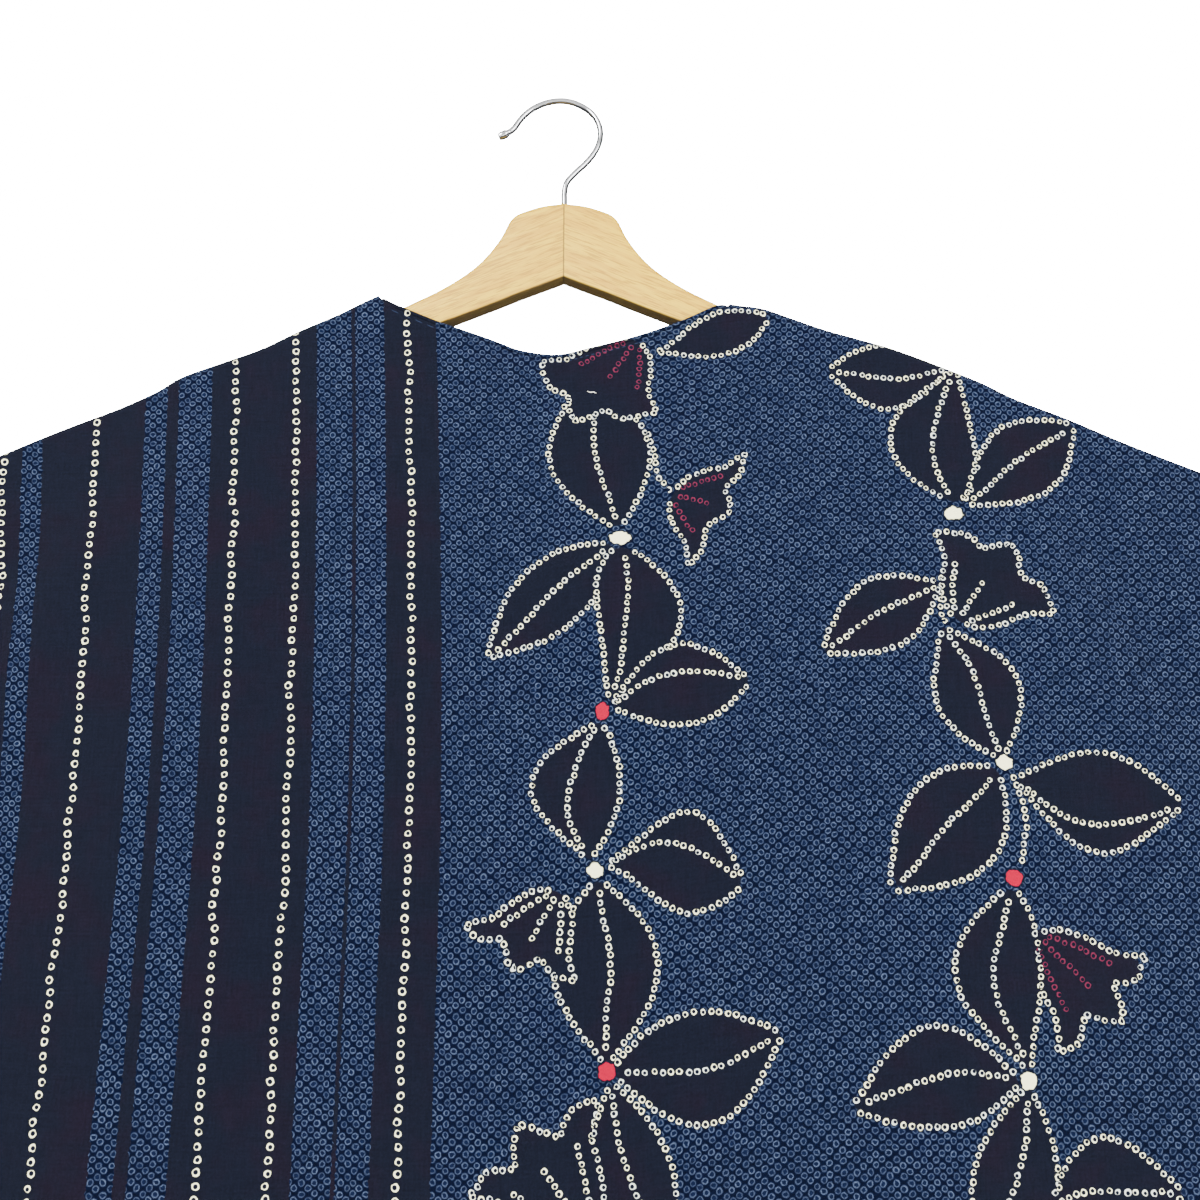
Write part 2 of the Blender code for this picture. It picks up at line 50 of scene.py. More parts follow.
# %% [markdown]
# ## The shape of the hanging cloth
#
# The jacket hangs almost flat from the hanger's two arms. Simulated cloth would slide to a shape of its
# own, so the cloth is placed instead: a short table gives the line of the shoulders, and small
# functions say how far each point of the cloth stands in front of or behind it. The same tables and
# functions made the imported solids, so every new sheet lies inside the solid that it stands for.

# %% Sizes of the jacket, in millimetres
CLOTH = 0.7  # thickness of the visible sheet
WALL = 1.6  # and of the solid that it lies in
SEAM = 0.06  # sewn edges lie this close together
CENTRE = -5.0
NECK_LEFT = -100.0  # where the shoulder seams meet the neck
NECK_RIGHT = 90.0
SIDE_LEFT = -347.0
SIDE_RIGHT = 337.0
ARMHOLE = 270.0
HEM = -918.0
HEM_LIFT = 8.0
FRONT_GAP = 36.0
SIDE_ROUND = 26.0
UNDERARM_EASE = 0.2
ROLL_ON_HANGER = 6.4
ROLL_PAST_HANGER = 4.2
ROLL_FLAT = 0.28
ROLL_CHANGE = 24.0
SLUMP = 214.0
CREASE_FADE = 40.0  # creases fade in over this distance below the fold
FULL_DEPTH = 15.0
DEPTH_REACH = 450.0
CUFF_SWELL = 9.0
SLEEVE_OUT = 236.0
SLEEVE_SLOPE = 0.455
SLEEVE_DROOP = 0.0004
UNDERARM_OUT = 170.0
UNDERARM_DROP = 112.0

# %% Outlines: across, height
SHOULDER = (
    (-347.0, -233.8), (-295.0, -210.0), (-265.0, -196.4), (-230.0, -181.8), (-214.0, -174.1),
    (-204.0, -167.2), (-183.0, -158.7), (-162.0, -150.6), (-141.0, -139.7), (-120.0, -129.8),
    (-107.0, -122.7), (-100.0, -119.3), (-95.0, -116.8), (-88.0, -115.3), (-80.0, -115.0),
    (76.0, -115.0), (82.0, -117.0), (86.0, -119.8), (90.0, -124.0), (106.0, -126.5),
    (123.0, -132.6), (140.0, -139.0), (157.0, -144.2), (174.0, -149.4), (191.0, -156.0),
    (207.0, -162.8), (224.0, -170.2), (240.0, -178.4), (265.0, -188.8), (297.0, -203.6),
    (337.0, -220.6),
)
BACK_NECK = (
    (-100.0, -119.3), (-96.5, -125.0), (-90.0, -128.4), (-80.0, -132.8), (-70.0, -137.2),
    (-49.0, -144.8), (-36.0, -149.8), (-23.0, -155.0), (-4.0, -157.6), (16.0, -153.0),
    (28.0, -150.0), (41.0, -146.2), (54.0, -141.6), (67.0, -136.4), (80.0, -130.0),
    (86.0, -127.4), (90.0, -124.8),
)
FRONT_EDGE = ((0.0, 0.0), (40.0, 0.14), (100.0, 0.40), (180.0, 0.74), (250.0, 0.93), (310.0, 1.0))

# %% Folds: the large ones are in the solids too
# Hem folds: start across, start height, across at the hem, half width, depth at the hem
HEM_FOLDS = (
    (-296.0, -500.0, -312.0, 30.0, 7.0),
    (-214.0, -300.0, -236.0, 36.0, -8.5),
    (-128.0, -380.0, -150.0, 42.0, 7.0),
    (-30.0, -440.0, -52.0, 46.0, -6.0),
    (66.0, -400.0, 70.0, 40.0, 7.5),
    (158.0, -320.0, 176.0, 38.0, -8.5),
    (232.0, -420.0, 252.0, 32.0, 7.0),
    (300.0, -520.0, 308.0, 26.0, -6.0),
)
# Slack folds: layer, start across and height, end across and height, half width, depth
SLACK_FOLDS = (
    ("back", -214.0, -185.0, -330.0, -470.0, 20.0, 3.0),
    ("back", -250.0, -210.0, -345.0, -400.0, 15.0, -2.4),
    ("back", 214.0, -180.0, 322.0, -455.0, 20.0, 3.0),
    ("back", 246.0, -200.0, 335.0, -390.0, 15.0, -2.4),
    ("back", -60.0, -165.0, 10.0, -330.0, 26.0, 1.6),
    ("front", -214.0, -185.0, -325.0, -480.0, 22.0, 4.0),
    ("front", 214.0, -180.0, 318.0, -470.0, 22.0, 4.0),
    ("front", -130.0, -170.0, -90.0, -560.0, 24.0, 4.5),
    ("front", 120.0, -165.0, 84.0, -540.0, 24.0, 4.5),
    ("both", -372.0, -300.0, -540.0, -520.0, 22.0, 4.0),
    ("both", -360.0, -400.0, -500.0, -600.0, 20.0, -4.0),
    ("both", 360.0, -290.0, 530.0, -500.0, 22.0, -4.0),
    ("both", 350.0, -390.0, 494.0, -588.0, 20.0, 4.0),
)
# Creases too fine for the solids
CREASES = (
    ("back", -98.0, -122.0, -36.0, -236.0, 11.0, -0.9),
    ("back", 88.0, -126.0, 40.0, -228.0, 10.0, -0.9),
    ("back", -206.0, -168.0, -152.0, -330.0, 18.0, 1.1),
    ("back", 206.0, -162.0, 158.0, -320.0, 18.0, 1.1),
    ("back", -250.0, -215.0, -222.0, -500.0, 24.0, 1.0),
    ("back", -118.0, -250.0, -132.0, -640.0, 30.0, -1.2),
    ("back", -20.0, -280.0, -8.0, -660.0, 34.0, 1.1),
    ("back", 96.0, -210.0, 118.0, -560.0, 32.0, -1.2),
    ("back", 250.0, -270.0, 262.0, -640.0, 26.0, -1.1),
    ("back", 170.0, -420.0, 190.0, -830.0, 30.0, 1.3),
    ("back", -290.0, -420.0, -280.0, -860.0, 24.0, -1.3),
    ("back", -62.0, -520.0, -86.0, -900.0, 24.0, 1.4),
    ("front", -206.0, -168.0, -160.0, -350.0, 18.0, 1.1),
    ("front", 206.0, -162.0, 166.0, -340.0, 18.0, 1.1),
    ("front", -240.0, -260.0, -210.0, -620.0, 26.0, -1.2),
    ("front", 240.0, -260.0, 214.0, -620.0, 26.0, -1.2),
    ("front", -90.0, -420.0, -100.0, -880.0, 24.0, 1.3),
    ("front", 78.0, -420.0, 92.0, -880.0, 24.0, 1.3),
    ("both", -400.0, -280.0, -470.0, -560.0, 20.0, 1.3),
    ("both", 392.0, -270.0, 462.0, -550.0, 20.0, 1.3),
)


# %% Smooth lines through the tables
def smooth(value):
    """0 below 0, 1 above 1, and an easy curve between."""
    t = np.clip(value, 0.0, 1.0)
    return t * t * (3.0 - 2.0 * t)


def line_through(rows, column=1):
    """A smooth line through a table, with no overshoot, as a function of its first column."""
    xs = np.array([row[0] for row in rows])
    ys = np.array([row[column] for row in rows])
    steps = np.diff(ys) / np.diff(xs)
    slopes = np.zeros(len(xs))
    slopes[0] = steps[0]
    slopes[-1] = steps[-1]
    for k in range(1, len(xs) - 1):
        if steps[k - 1] * steps[k] > 0:
            slopes[k] = 2.0 * steps[k - 1] * steps[k] / (steps[k - 1] + steps[k])

    def at(x):
        x = np.asarray(x, float)
        k = np.clip(np.searchsorted(xs, x, side="right") - 1, 0, len(xs) - 2)
        width = xs[k + 1] - xs[k]
        t = (np.clip(x, xs[0], xs[-1]) - xs[k]) / width
        start = (1 + 2 * t) * (1 - t) ** 2 * ys[k] + t * (1 - t) ** 2 * width * slopes[k]
        end = t * t * (3 - 2 * t) * ys[k + 1] + t * t * (t - 1) * width * slopes[k + 1]
        past = slopes[0] * np.minimum(x - xs[0], 0) + slopes[-1] * np.maximum(x - xs[-1], 0)
        return start + end + past

    return at


shoulder_line = line_through(SHOULDER)
back_neck_line = line_through(BACK_NECK)
front_edge_share = line_through(FRONT_EDGE)


def ridge(x):
    """Height of the cloth's middle along the shoulder seam."""
    return shoulder_line(x) - WALL / 2


def side_of(x):
    return np.where(np.asarray(x) < CENTRE, SIDE_LEFT, SIDE_RIGHT)


# %% The fold over the hanger
def roll_radius(x):
    """Half depth of the fold at the shoulder: full over the hanger's arms, less beyond their tips."""
    past = smooth((np.abs(x) - SLUMP) / ROLL_CHANGE)
    return ROLL_ON_HANGER + (ROLL_PAST_HANGER - ROLL_ON_HANGER) * past


def roll(s, radius):
    """Half depth and drop at distance s along the cloth from the shoulder seam."""
    flat = ROLL_FLAT * radius
    bend = radius - flat
    angle = np.clip((s - flat) / bend, 0.0, math.pi / 2)
    depth = np.minimum(s, flat) + bend * np.sin(angle)
    straight = np.maximum(0.0, s - flat - bend * math.pi / 2)
    return depth, bend * (1.0 - np.cos(angle)) + straight


def roll_end(radius):
    """The distance along the cloth at which the fold is over and the cloth hangs straight."""
    return ROLL_FLAT * radius + (radius - ROLL_FLAT * radius) * math.pi / 2


def distance_at_drop(drop, radius):
    """The distance along the cloth at which it has come down by drop."""
    flat = ROLL_FLAT * radius
    bend = radius - flat
    angle = np.arccos(np.clip(1.0 - drop / bend, 0.0, 1.0))
    return np.where(drop <= 0.0, 0.0, flat + bend * angle + np.maximum(0.0, drop - bend))


def half_circle(distance, reach):
    """0 at a closed seam, rising to 1 over reach."""
    t = np.clip(distance / reach, 0.0, 1.0)
    return np.sqrt(1.0 - (1.0 - t) ** 2)


# %% Depth of the folds
def hem_fold_depth(x, z):
    total = np.zeros(np.shape(x))
    for start_x, start_z, hem_x, half_width, depth in HEM_FOLDS:
        along = np.maximum((start_z - z) / (start_z - HEM), 0.0)
        middle = start_x + (hem_x - start_x) * along
        width = half_width * (0.75 + 0.25 * along)
        total = total + depth * smooth(along) * np.exp(-(((x - middle) / width) ** 2))
    return total


def soft_fold_depth(x, z, table, layer):
    """Depth of the folds of one layer that fade at both ends."""
    total = np.zeros(np.shape(x))
    for where, start_x, start_z, end_x, end_z, half_width, depth in table:
        if where != layer:
            continue
        run_x = end_x - start_x
        run_z = end_z - start_z
        length = math.hypot(run_x, run_z)
        along = np.clip(((x - start_x) * run_x + (z - start_z) * run_z) / length**2, 0.0, 1.0)
        across = ((x - start_x) * run_z - (z - start_z) * run_x) / length
        fade = np.abs(np.sin(math.pi * along)) ** 1.5
        total = total + depth * fade * np.exp(-((across / half_width) ** 2))
    return total


def body_point(x, s, layer):
    """Points of the body's cloth: x across, s along the cloth from the shoulder seam."""
    side = side_of(x)
    radius = roll_radius(x)
    depth, drop = roll(s, radius)
    z = ridge(x) - drop
    depth = depth + (FULL_DEPTH - radius) * smooth((s - radius) / DEPTH_REACH)
    depth = depth + soft_fold_depth(x, z, SLACK_FOLDS, layer)
    depth = depth + soft_fold_depth(x, z, CREASES, layer) * smooth((s - radius) / CREASE_FADE)
    above_underarm = z - (ridge(side) - ARMHOLE)
    reach = np.hypot(np.abs(side - x), np.maximum(0.0, above_underarm))
    closed = half_circle(reach, SIDE_ROUND)
    ease = SEAM * (1.0 - closed) * np.maximum(0.0, 1.0 - np.abs(above_underarm) / SIDE_ROUND)
    sign = -1.0 if layer == "back" else 1.0
    sway = hem_fold_depth(x, z) + soft_fold_depth(x, z, SLACK_FOLDS, "both")
    return np.stack([x, sign * (SEAM / 2 + ease + depth * closed) + sway, z], axis=-1)


def hem_height(x):
    return HEM + HEM_LIFT * ((x - CENTRE) / (SIDE_RIGHT - CENTRE)) ** 2


# %% [markdown]
# ## A grid for each width of cloth
#
# Each piece of cloth starts as a flat grid, and every point of the grid is then moved to its place on
# the hanging jacket. The rows run close together where the cloth turns: over the shoulder, and where
# the side seam opens into the armhole. They are wider apart towards the hem, which has little to show.

# %% Rows and columns
FINE = 2.8  # rows this far apart in the upper half
COARSE = 5.0  # and this far near the hem
FINE_END = 375.0  # distance down the side seam at which the wider rows start
TURN = np.radians((0, 8, 16, 25, 35, 46, 58, 72, 90))
FOLD_SHARES = np.linspace(0.0, 1.0, 6)


def side_steps():
    """Distances in from a side seam where its rounded turn is drawn."""
    return SIDE_ROUND * (1.0 - np.cos(TURN))


def evenly(start, end, step):
    """Inner points of a stretch at about the given step, without its ends."""
    count = max(2, round(abs(end - start) / step) + 1)
    return np.linspace(start, end, count)[1:-1]


def fold_rows(radius):
    """Distances from the seam of the rows over the shoulder."""
    flat = ROLL_FLAT * radius
    return np.concatenate([[0.0], flat + (roll_end(radius) - flat) * FOLD_SHARES])


def row_shares():
    """Rows below the fold, as shares of the side seam's length."""
    radius = roll_radius(SIDE_LEFT)
    start = roll_end(radius)
    end = float(distance_at_drop(ridge(SIDE_LEFT) - hem_height(SIDE_LEFT), radius))
    underarm = float(distance_at_drop(ARMHOLE, radius))
    turn = underarm - side_steps()[::-1]
    rows = np.concatenate([
        evenly(start, turn[0], FINE), turn,
        evenly(underarm, FINE_END, FINE), [FINE_END], evenly(FINE_END, end, COARSE), [end],
    ])
    return (rows - start) / (end - start)


ROW_SHARES = row_shares()


def row_distances(x, start):
    """Distances along the cloth of one column's rows, from its top edge to the hem."""
    radius = float(roll_radius(x))
    rolled = start + fold_rows(radius)
    end = float(distance_at_drop(ridge(x) - hem_height(x), radius))
    return np.concatenate([rolled, rolled[-1] + (end - rolled[-1]) * ROW_SHARES])


print("rows in each width of cloth:", len(row_distances(0.0, 0.0)))


# %% The back
COLUMN_STEP = 3.1


def back_start(x):
    """Where a column of the back starts: at the seam, or at the edge of the neck."""
    if not NECK_LEFT < x < NECK_RIGHT:
        return 0.0
    radius = float(roll_radius(x))
    return float(distance_at_drop(ridge(x) - float(back_neck_line(x)), radius))


def back_grid():
    """The back as an array of columns, rows and coordinates, with each point's distance s."""
    turn_left = SIDE_LEFT + side_steps()
    turn_right = (SIDE_RIGHT - side_steps())[::-1]
    marks = [turn_left[-1], NECK_LEFT, BACK_NECK[1][0], BACK_NECK[-2][0], NECK_RIGHT, turn_right[0]]
    across = [turn_left]
    for a, b in zip(marks[:-1], marks[1:]):
        across += [evenly(a, b, COLUMN_STEP), [b]]
    across = np.concatenate(across + [turn_right[1:]])
    down = np.array([row_distances(x, back_start(x)) for x in across])
    wide = np.repeat(across[:, None], down.shape[1], axis=1)
    return body_point(wide, down, "back"), down


# %% The fronts
def front_edge_x(s, neck):
    """Where a front's free edge is, at distance s below the neck point."""
    gap = CENTRE + math.copysign(FRONT_GAP, neck - CENTRE)
    share = np.where(s < FRONT_EDGE[-1][0], front_edge_share(s), 1.0)
    return neck + (gap - neck) * share


def front_grid(neck):
    """One front, from its side seam to its free edge."""
    side = float(side_of(neck))
    inward = math.copysign(1.0, neck - side)
    slump = math.copysign(SLUMP, side)
    fixed = side + inward * side_steps()
    fixed = np.concatenate([fixed, evenly(fixed[-1], slump, COLUMN_STEP), [slump]])
    edge = front_edge_x(row_distances(neck, 0.0), neck)
    shares = np.linspace(0.0, 1.0, round(abs(slump - neck) / COLUMN_STEP) + 10)[1:]
    spread = slump + (edge[None, :] - slump) * shares[:, None]
    wide = np.concatenate([np.repeat(fixed[:, None], len(edge), axis=1), spread])
    down = np.array([
        [row_distances(x, 0.0)[row] for row, x in enumerate(column)] if uneven
        else row_distances(column[0], 0.0)
        for uneven, column in zip(np.ptp(wide, axis=1) > 1e-6, wide)
    ])
    return body_point(wide, down, "front"), down


# %% The sleeves
RINGS = 72


def sleeve_point(out, s, side, layer):
    """Points of a sleeve: out is 0 at the armhole and 1 at the cuff, s runs down from its fold."""
    sign = math.copysign(1.0, side)
    top_x = out * SLEEVE_OUT
    top_z = ridge(side) - SLEEVE_SLOPE * top_x - SLEEVE_DROOP * top_x**2
    low_z = ridge(side) - ARMHOLE - UNDERARM_DROP * out
    depth, drop = roll(s, ROLL_PAST_HANGER)
    share = drop / ARMHOLE
    closed = half_circle(ARMHOLE - drop, SIDE_ROUND)
    lean = (out * UNDERARM_OUT - top_x) * share
    x = side + sign * (SEAM + UNDERARM_EASE * (1.0 - closed) + top_x + lean)
    z = top_z + (low_z - top_z) * share
    widening = smooth((s - ROLL_PAST_HANGER) / DEPTH_REACH)
    depth = depth + (FULL_DEPTH - ROLL_PAST_HANGER) * widening
    depth = depth + CUFF_SWELL * smooth(out) * np.sin(math.pi * np.minimum(share, 1.0))
    sway = hem_fold_depth(x, z) + soft_fold_depth(x, z, SLACK_FOLDS, "both")
    sway = sway + soft_fold_depth(x, z, CREASES, "both")
    y = (-1.0 if layer == "back" else 1.0) * depth * closed + sway
    return np.stack([x, y, z], axis=-1)


def sleeve_grid(side):
    """Rings of a sleeve from armhole to cuff, each from the underarm seam round and back to it."""
    end = float(distance_at_drop(ARMHOLE, ROLL_PAST_HANGER))
    top = fold_rows(ROLL_PAST_HANGER)
    low = end - side_steps()[::-1]
    down = np.concatenate([top, evenly(top[-1], low[0], FINE), low])
    outs = np.linspace(0.0, 1.0, RINGS)[:, None]
    back = sleeve_point(outs, down[None, ::-1], side, "back")
    front = sleeve_point(outs, down[None, 1:], side, "front")
    signed = np.concatenate([-down[::-1], down[1:]])
    return np.concatenate([back, front], axis=1), np.repeat(signed[None], RINGS, axis=0)


# %% [markdown]
# ## From grid to sheet
#
# `create_grid` makes the faces. The points are then moved, and a Solidify modifier gives the sheet its
# real thickness when it is rendered. The sheet's flat area is measured before that.

# %% Put a shape into the scene
def add_object(name, data):
    """A new object for a mesh, a curve, a lamp or a camera."""
    made = bpy.data.objects.new(name, data)
    bpy.context.scene.collection.objects.link(made)
    return made


def piece_from(bm, name):
    """Turns a bmesh into a piece with smooth shading."""
    mesh = bpy.data.meshes.new(name)
    bm.to_mesh(mesh)
    bm.free()
    mesh.shade_smooth()
    return add_object(name, mesh)


# %% Make a sheet of cloth
def sheet_of_cloth(name, grid):
    """A sheet through a grid of points. Returns its object and, for each vertex, its column and row."""
    across = grid.shape[0] - 1
    down = grid.shape[1] - 1
    bm = bmesh.new()
    bmesh.ops.create_grid(bm, x_segments=across, y_segments=down, size=1.0)
    order = np.zeros((len(bm.verts), 2), int)
    for number, vert in enumerate(bm.verts):
        column = round((vert.co.x + 1.0) / 2.0 * across)
        row = round((vert.co.y + 1.0) / 2.0 * down)
        order[number] = (column, row)
        vert.co = Vector(grid[column, row]) * MM
    area = sum(face.calc_area() for face in bm.faces)
    made = piece_from(bm, name)
    wall = made.modifiers.new("thickness", "SOLIDIFY")
    wall.thickness = CLOTH * MM
    wall.offset = 0.0
    wall.use_even_offset = True
    print(f"{name}: {across} x {down} faces, {area:.3f} square metres")
    return made, order, area


# %% [markdown]
# ## The printed pattern
#
# The cloth is printed after an old way of dyeing in which many small pinches of cloth are bound with
# thread, so that each leaves a pale ring. Close rings fill the blue ground, chains of larger white rings
# make stripes down the left, and two vines of leaves and bell flowers run down the middle and right.
#
# The rings are far too many to model, and no picture is used. Each chain of rings is a line, drawn here
# by a few points. Every face of the cloth then stores where its corners lie beside the nearest chains:
# how far across, and how many rings along. The material draws the rings from those two numbers.
# Because each face stores its own corners, two chains can cross or meet without mixing.

# %% Where things lie on the cloth
RING_PITCH = {"leaf": 3.95, "line": 5.6, "stamen": 3.7}
RING_RADIUS = {"leaf": 1.34, "line": 1.60}  # a stamen's rings are as large as a leaf's
KIND_START = {"leaf": 0, "line": 4000, "stamen": 8000}
LEAN = 10.5  # the print leans this much towards the top, in millimetres
LEAN_TOP = -152.0
LEAN_END = -430.0
LEAN_FADE = 100.0  # it fades out this far right of the middle
EDGE_LEAN = 0.45  # the leftmost stripes lean this share more
EDGE_LEAN_FROM = -240.0
EDGE_LEAN_CHANGE = 30.0
TILT = 0.085  # slope of the rows of the ground in the middle of the back
TILT_FROM = -45.0
TILT_TO = 165.0


def lean_at(x, z):
    """How far the print is shifted to the left at a height."""
    up = np.clip((z - LEAN_END) / (LEAN_TOP - LEAN_END), 0.0, 1.3)
    more = 1.0 + EDGE_LEAN * smooth((EDGE_LEAN_FROM - np.asarray(x)) / EDGE_LEAN_CHANGE)
    return LEAN * more * up**1.5 * (1.0 - smooth(np.asarray(x) / LEAN_FADE))


def tilt_at(x):
    """How far the rows of the ground have risen, from left to right."""
    return TILT * (TILT_TO - TILT_FROM) * smooth((x - TILT_FROM) / (TILT_TO - TILT_FROM))


pattern = {"lines": [], "patches": [], "knots": []}
dice = np.random.default_rng(7)


# %% A smooth line, and how far points are from it
def soft_line(points, step=1.3):
    """Points close together on a smooth curve through a few points."""
    points = np.array(points, float)
    padded = np.concatenate([[2 * points[0] - points[1]], points, [2 * points[-1] - points[-2]]])
    made = []
    for k in range(1, len(padded) - 2):
        a, b, c, d = padded[k - 1:k + 3]
        count = max(1, round(float(np.linalg.norm(c - b)) / step))
        t = np.arange(count)[:, None] / count
        bend = (2 * a - 5 * b + 4 * c - d) * t * t + (3 * b - a - 3 * c + d) * t**3
        made.append(0.5 * (2 * b + (c - a) * t + bend))
    return np.concatenate(made + [points[-1:]])


def beside(points, line):
    """Signed distance from a line of points, and distance along it."""
    a = line[:-1]
    run = line[1:] - a
    length = np.maximum(np.linalg.norm(run, axis=1), 1e-6)
    start = np.concatenate([[0.0], np.cumsum(length)[:-1]])
    rel = points[:, None, :] - a[None]
    t = np.clip((rel * run).sum(-1) / length**2, 0.0, 1.0)
    foot = rel - t[..., None] * run
    gap = np.linalg.norm(foot, axis=-1)
    k = np.argmin(gap, axis=1)
    row = np.arange(len(points))
    turn = run[k, 0] * foot[row, k, 1] - run[k, 1] * foot[row, k, 0]
    return np.where(turn < 0, -1.0, 1.0) * gap[row, k], start[k] + t[row, k] * length[k]


def depth_inside(points, shape):
    """How far points lie inside a closed outline, negative outside it."""
    gap = np.abs(beside(points, np.concatenate([shape, shape[:1]]))[0])
    a = shape
    b = np.roll(shape, -1, axis=0)
    spans = (a[None, :, 1] > points[:, None, 1]) != (b[None, :, 1] > points[:, None, 1])
    rise = np.where(np.abs(b[:, 1] - a[:, 1]) < 1e-9, 1e-9, b[:, 1] - a[:, 1])
    crossing = a[:, 0] + (points[:, None, 1] - a[:, 1]) * (b[:, 0] - a[:, 0]) / rise
    inside = (spans & (points[:, None, 0] < crossing)).sum(axis=1) % 2 == 1
    return np.where(inside, gap, -gap)


# %% [markdown]
# ## What lies over what
#
# The dyer drew one leaf or flower over another, and the rings of the lower one stop at the edge of the
# upper one. Each new shape therefore first hides what is already drawn under it, and then adds its own
# rows of rings.

# %% Add a row of rings, or hide what lies under a shape
COVER_EDGE = 1.6  # rings this close to the new shape's edge stay in view
SHORTEST = 3  # what is left of a line is dropped if it has no more points than this


def add_chain(line, kind):
    """A row of rings to come, along a line of points (across, height)."""
    pattern["lines"].append((line, kind))


def cover(shape):
    """Cuts every line where it runs in under a new leaf or flower."""
    left = []
    for line, kind in pattern["lines"]:
        seen = depth_inside(line, shape) < COVER_EDGE
        turns = np.flatnonzero(np.diff(np.concatenate([[False], seen, [False]])))
        for first, last in turns.reshape(-1, 2):
            if last - first > SHORTEST:
                left.append((line[first:last], kind))
    pattern["lines"] = left
    pattern["patches"].append(shape)


# %% Leaves
LEAF_TIP = 0.22  # how much a leaf draws in before its tip
LEAF_STEP = 1.5  # millimetres between points along a leaf
RIPPLE = 0.5  # its sides swing this far, in millimetres
RIPPLE_TURN = 9.0  # through this angle from base to tip, in radians
RIB_SWING = 2.2
RIB_TURN = 5.6
RIB_FROM = 0.05  # shares of the leaf's length at which the rib starts and ends
RIB_TO = 0.93


def frame_of(base, tip):
    """Start, direction, square direction and length from one point to another."""
    base = np.array(base, float)
    run = np.array(tip, float) - base
    length = float(np.linalg.norm(run))
    along = run / length
    return base, along, np.array([-along[1], along[0]]), length


def add_leaf(base, tip, width, bend=0.0, belly=0.45, wave=1.0, rib_shift=0.0):
    """A pointed leaf: two rows of rings for its sides and a wavy one for its rib.

    In some leaves the rib runs nearer to one side. Where wave is 0 there is no rib.
    """
    start, along, across, length = frame_of(base, tip)
    t = np.linspace(0.0, 1.0, max(8, round(length / LEAF_STEP)))[:, None]
    power = math.log(0.5) / math.log(belly)
    profile = np.sin(math.pi * t**power) ** 0.9 * (1.0 - LEAF_TIP * t**5)
    middle = start + along * length * t + across * bend * np.sin(math.pi * t)
    sides = [middle + across * (sign * width / 2 * profile) for sign in (-1.0, 1.0)]
    ripple = np.sin(t * RIPPLE_TURN + base[0]) * RIPPLE
    for sign, side in zip((-1.0, 1.0), sides):
        side += across * sign * ripple * np.sin(math.pi * t)
    cover(np.concatenate([sides[0], sides[1][::-1]]))
    for side in sides:
        add_chain(side[1:-1], "leaf")
    if wave:
        off_middle = wave * RIB_SWING * np.sin(t * RIB_TURN + base[1]) + rib_shift
        rib = middle + across * off_middle * np.sin(math.pi * t)
        add_chain(rib[round(len(t) * RIB_FROM):round(len(t) * RIB_TO)], "leaf")


# %% Bell flowers: shares of a flower's length, and how far out, as shares of its width
TEETH = 3
MOUTH_END = 0.54
FLOWER_SIDE = ((0.02, 0.05), (0.18, 0.19), (0.46, 0.29), (0.78, 0.37), (1.05, MOUTH_END))
MOUTH_CORNER = 1.05
NOTCH = 0.98
SHORT_TOOTH = 1.14
LONG_TOOTH = 1.30
STAMEN = ((0.10, 0.25), (0.45, 0.7), (0.84, 1.1))  # how far out is a share of its spread here
STAMEN_SPREADS = (-0.24, 0.02, 0.26)


def add_flower(base, mouth, width, stamens="stamen", lean=0.0, bulge=0.0):
    """A bell flower: two flaring sides, a toothed mouth and a few stamens.

    Lean brings one end of the mouth forward, and bulge its middle.
    """
    start, along, across, length = frame_of(base, mouth)

    def place(forward, sideways):
        return start + along * length * (forward + lean * sideways) + across * width * sideways

    def rim(forward, sideways):
        return place(forward + bulge * (1.0 - (sideways / MOUTH_END) ** 2), sideways)

    sides = [
        soft_line([place(forward, sign * out) for forward, out in FLOWER_SIDE]) for sign in (-1.0, 1.0)
    ]
    ends = np.linspace(MOUTH_END, -MOUTH_END, TEETH + 1)
    edge = []
    for k in range(TEETH):
        middle = (ends[k] + ends[k + 1]) / 2
        reach = LONG_TOOTH if k % 2 else SHORT_TOOTH
        first = MOUTH_CORNER if k == 0 else NOTCH
        last = MOUTH_CORNER if k == TEETH - 1 else NOTCH
        edge.append(soft_line([
            rim(first, ends[k]), rim(reach - 0.05, ends[k] * 0.4 + middle * 0.6),
            rim(reach, middle * 0.9 + ends[k + 1] * 0.1), rim(last, ends[k + 1]),
        ]))
    cover(np.concatenate([sides[0]] + [tooth[::-1] for tooth in edge[::-1]] + [sides[1][::-1]]))
    for line in sides + edge:
        add_chain(line, "leaf")
    for spread in STAMEN_SPREADS:
        add_chain(soft_line([place(forward, spread * out) for forward, out in STAMEN]), stamens)


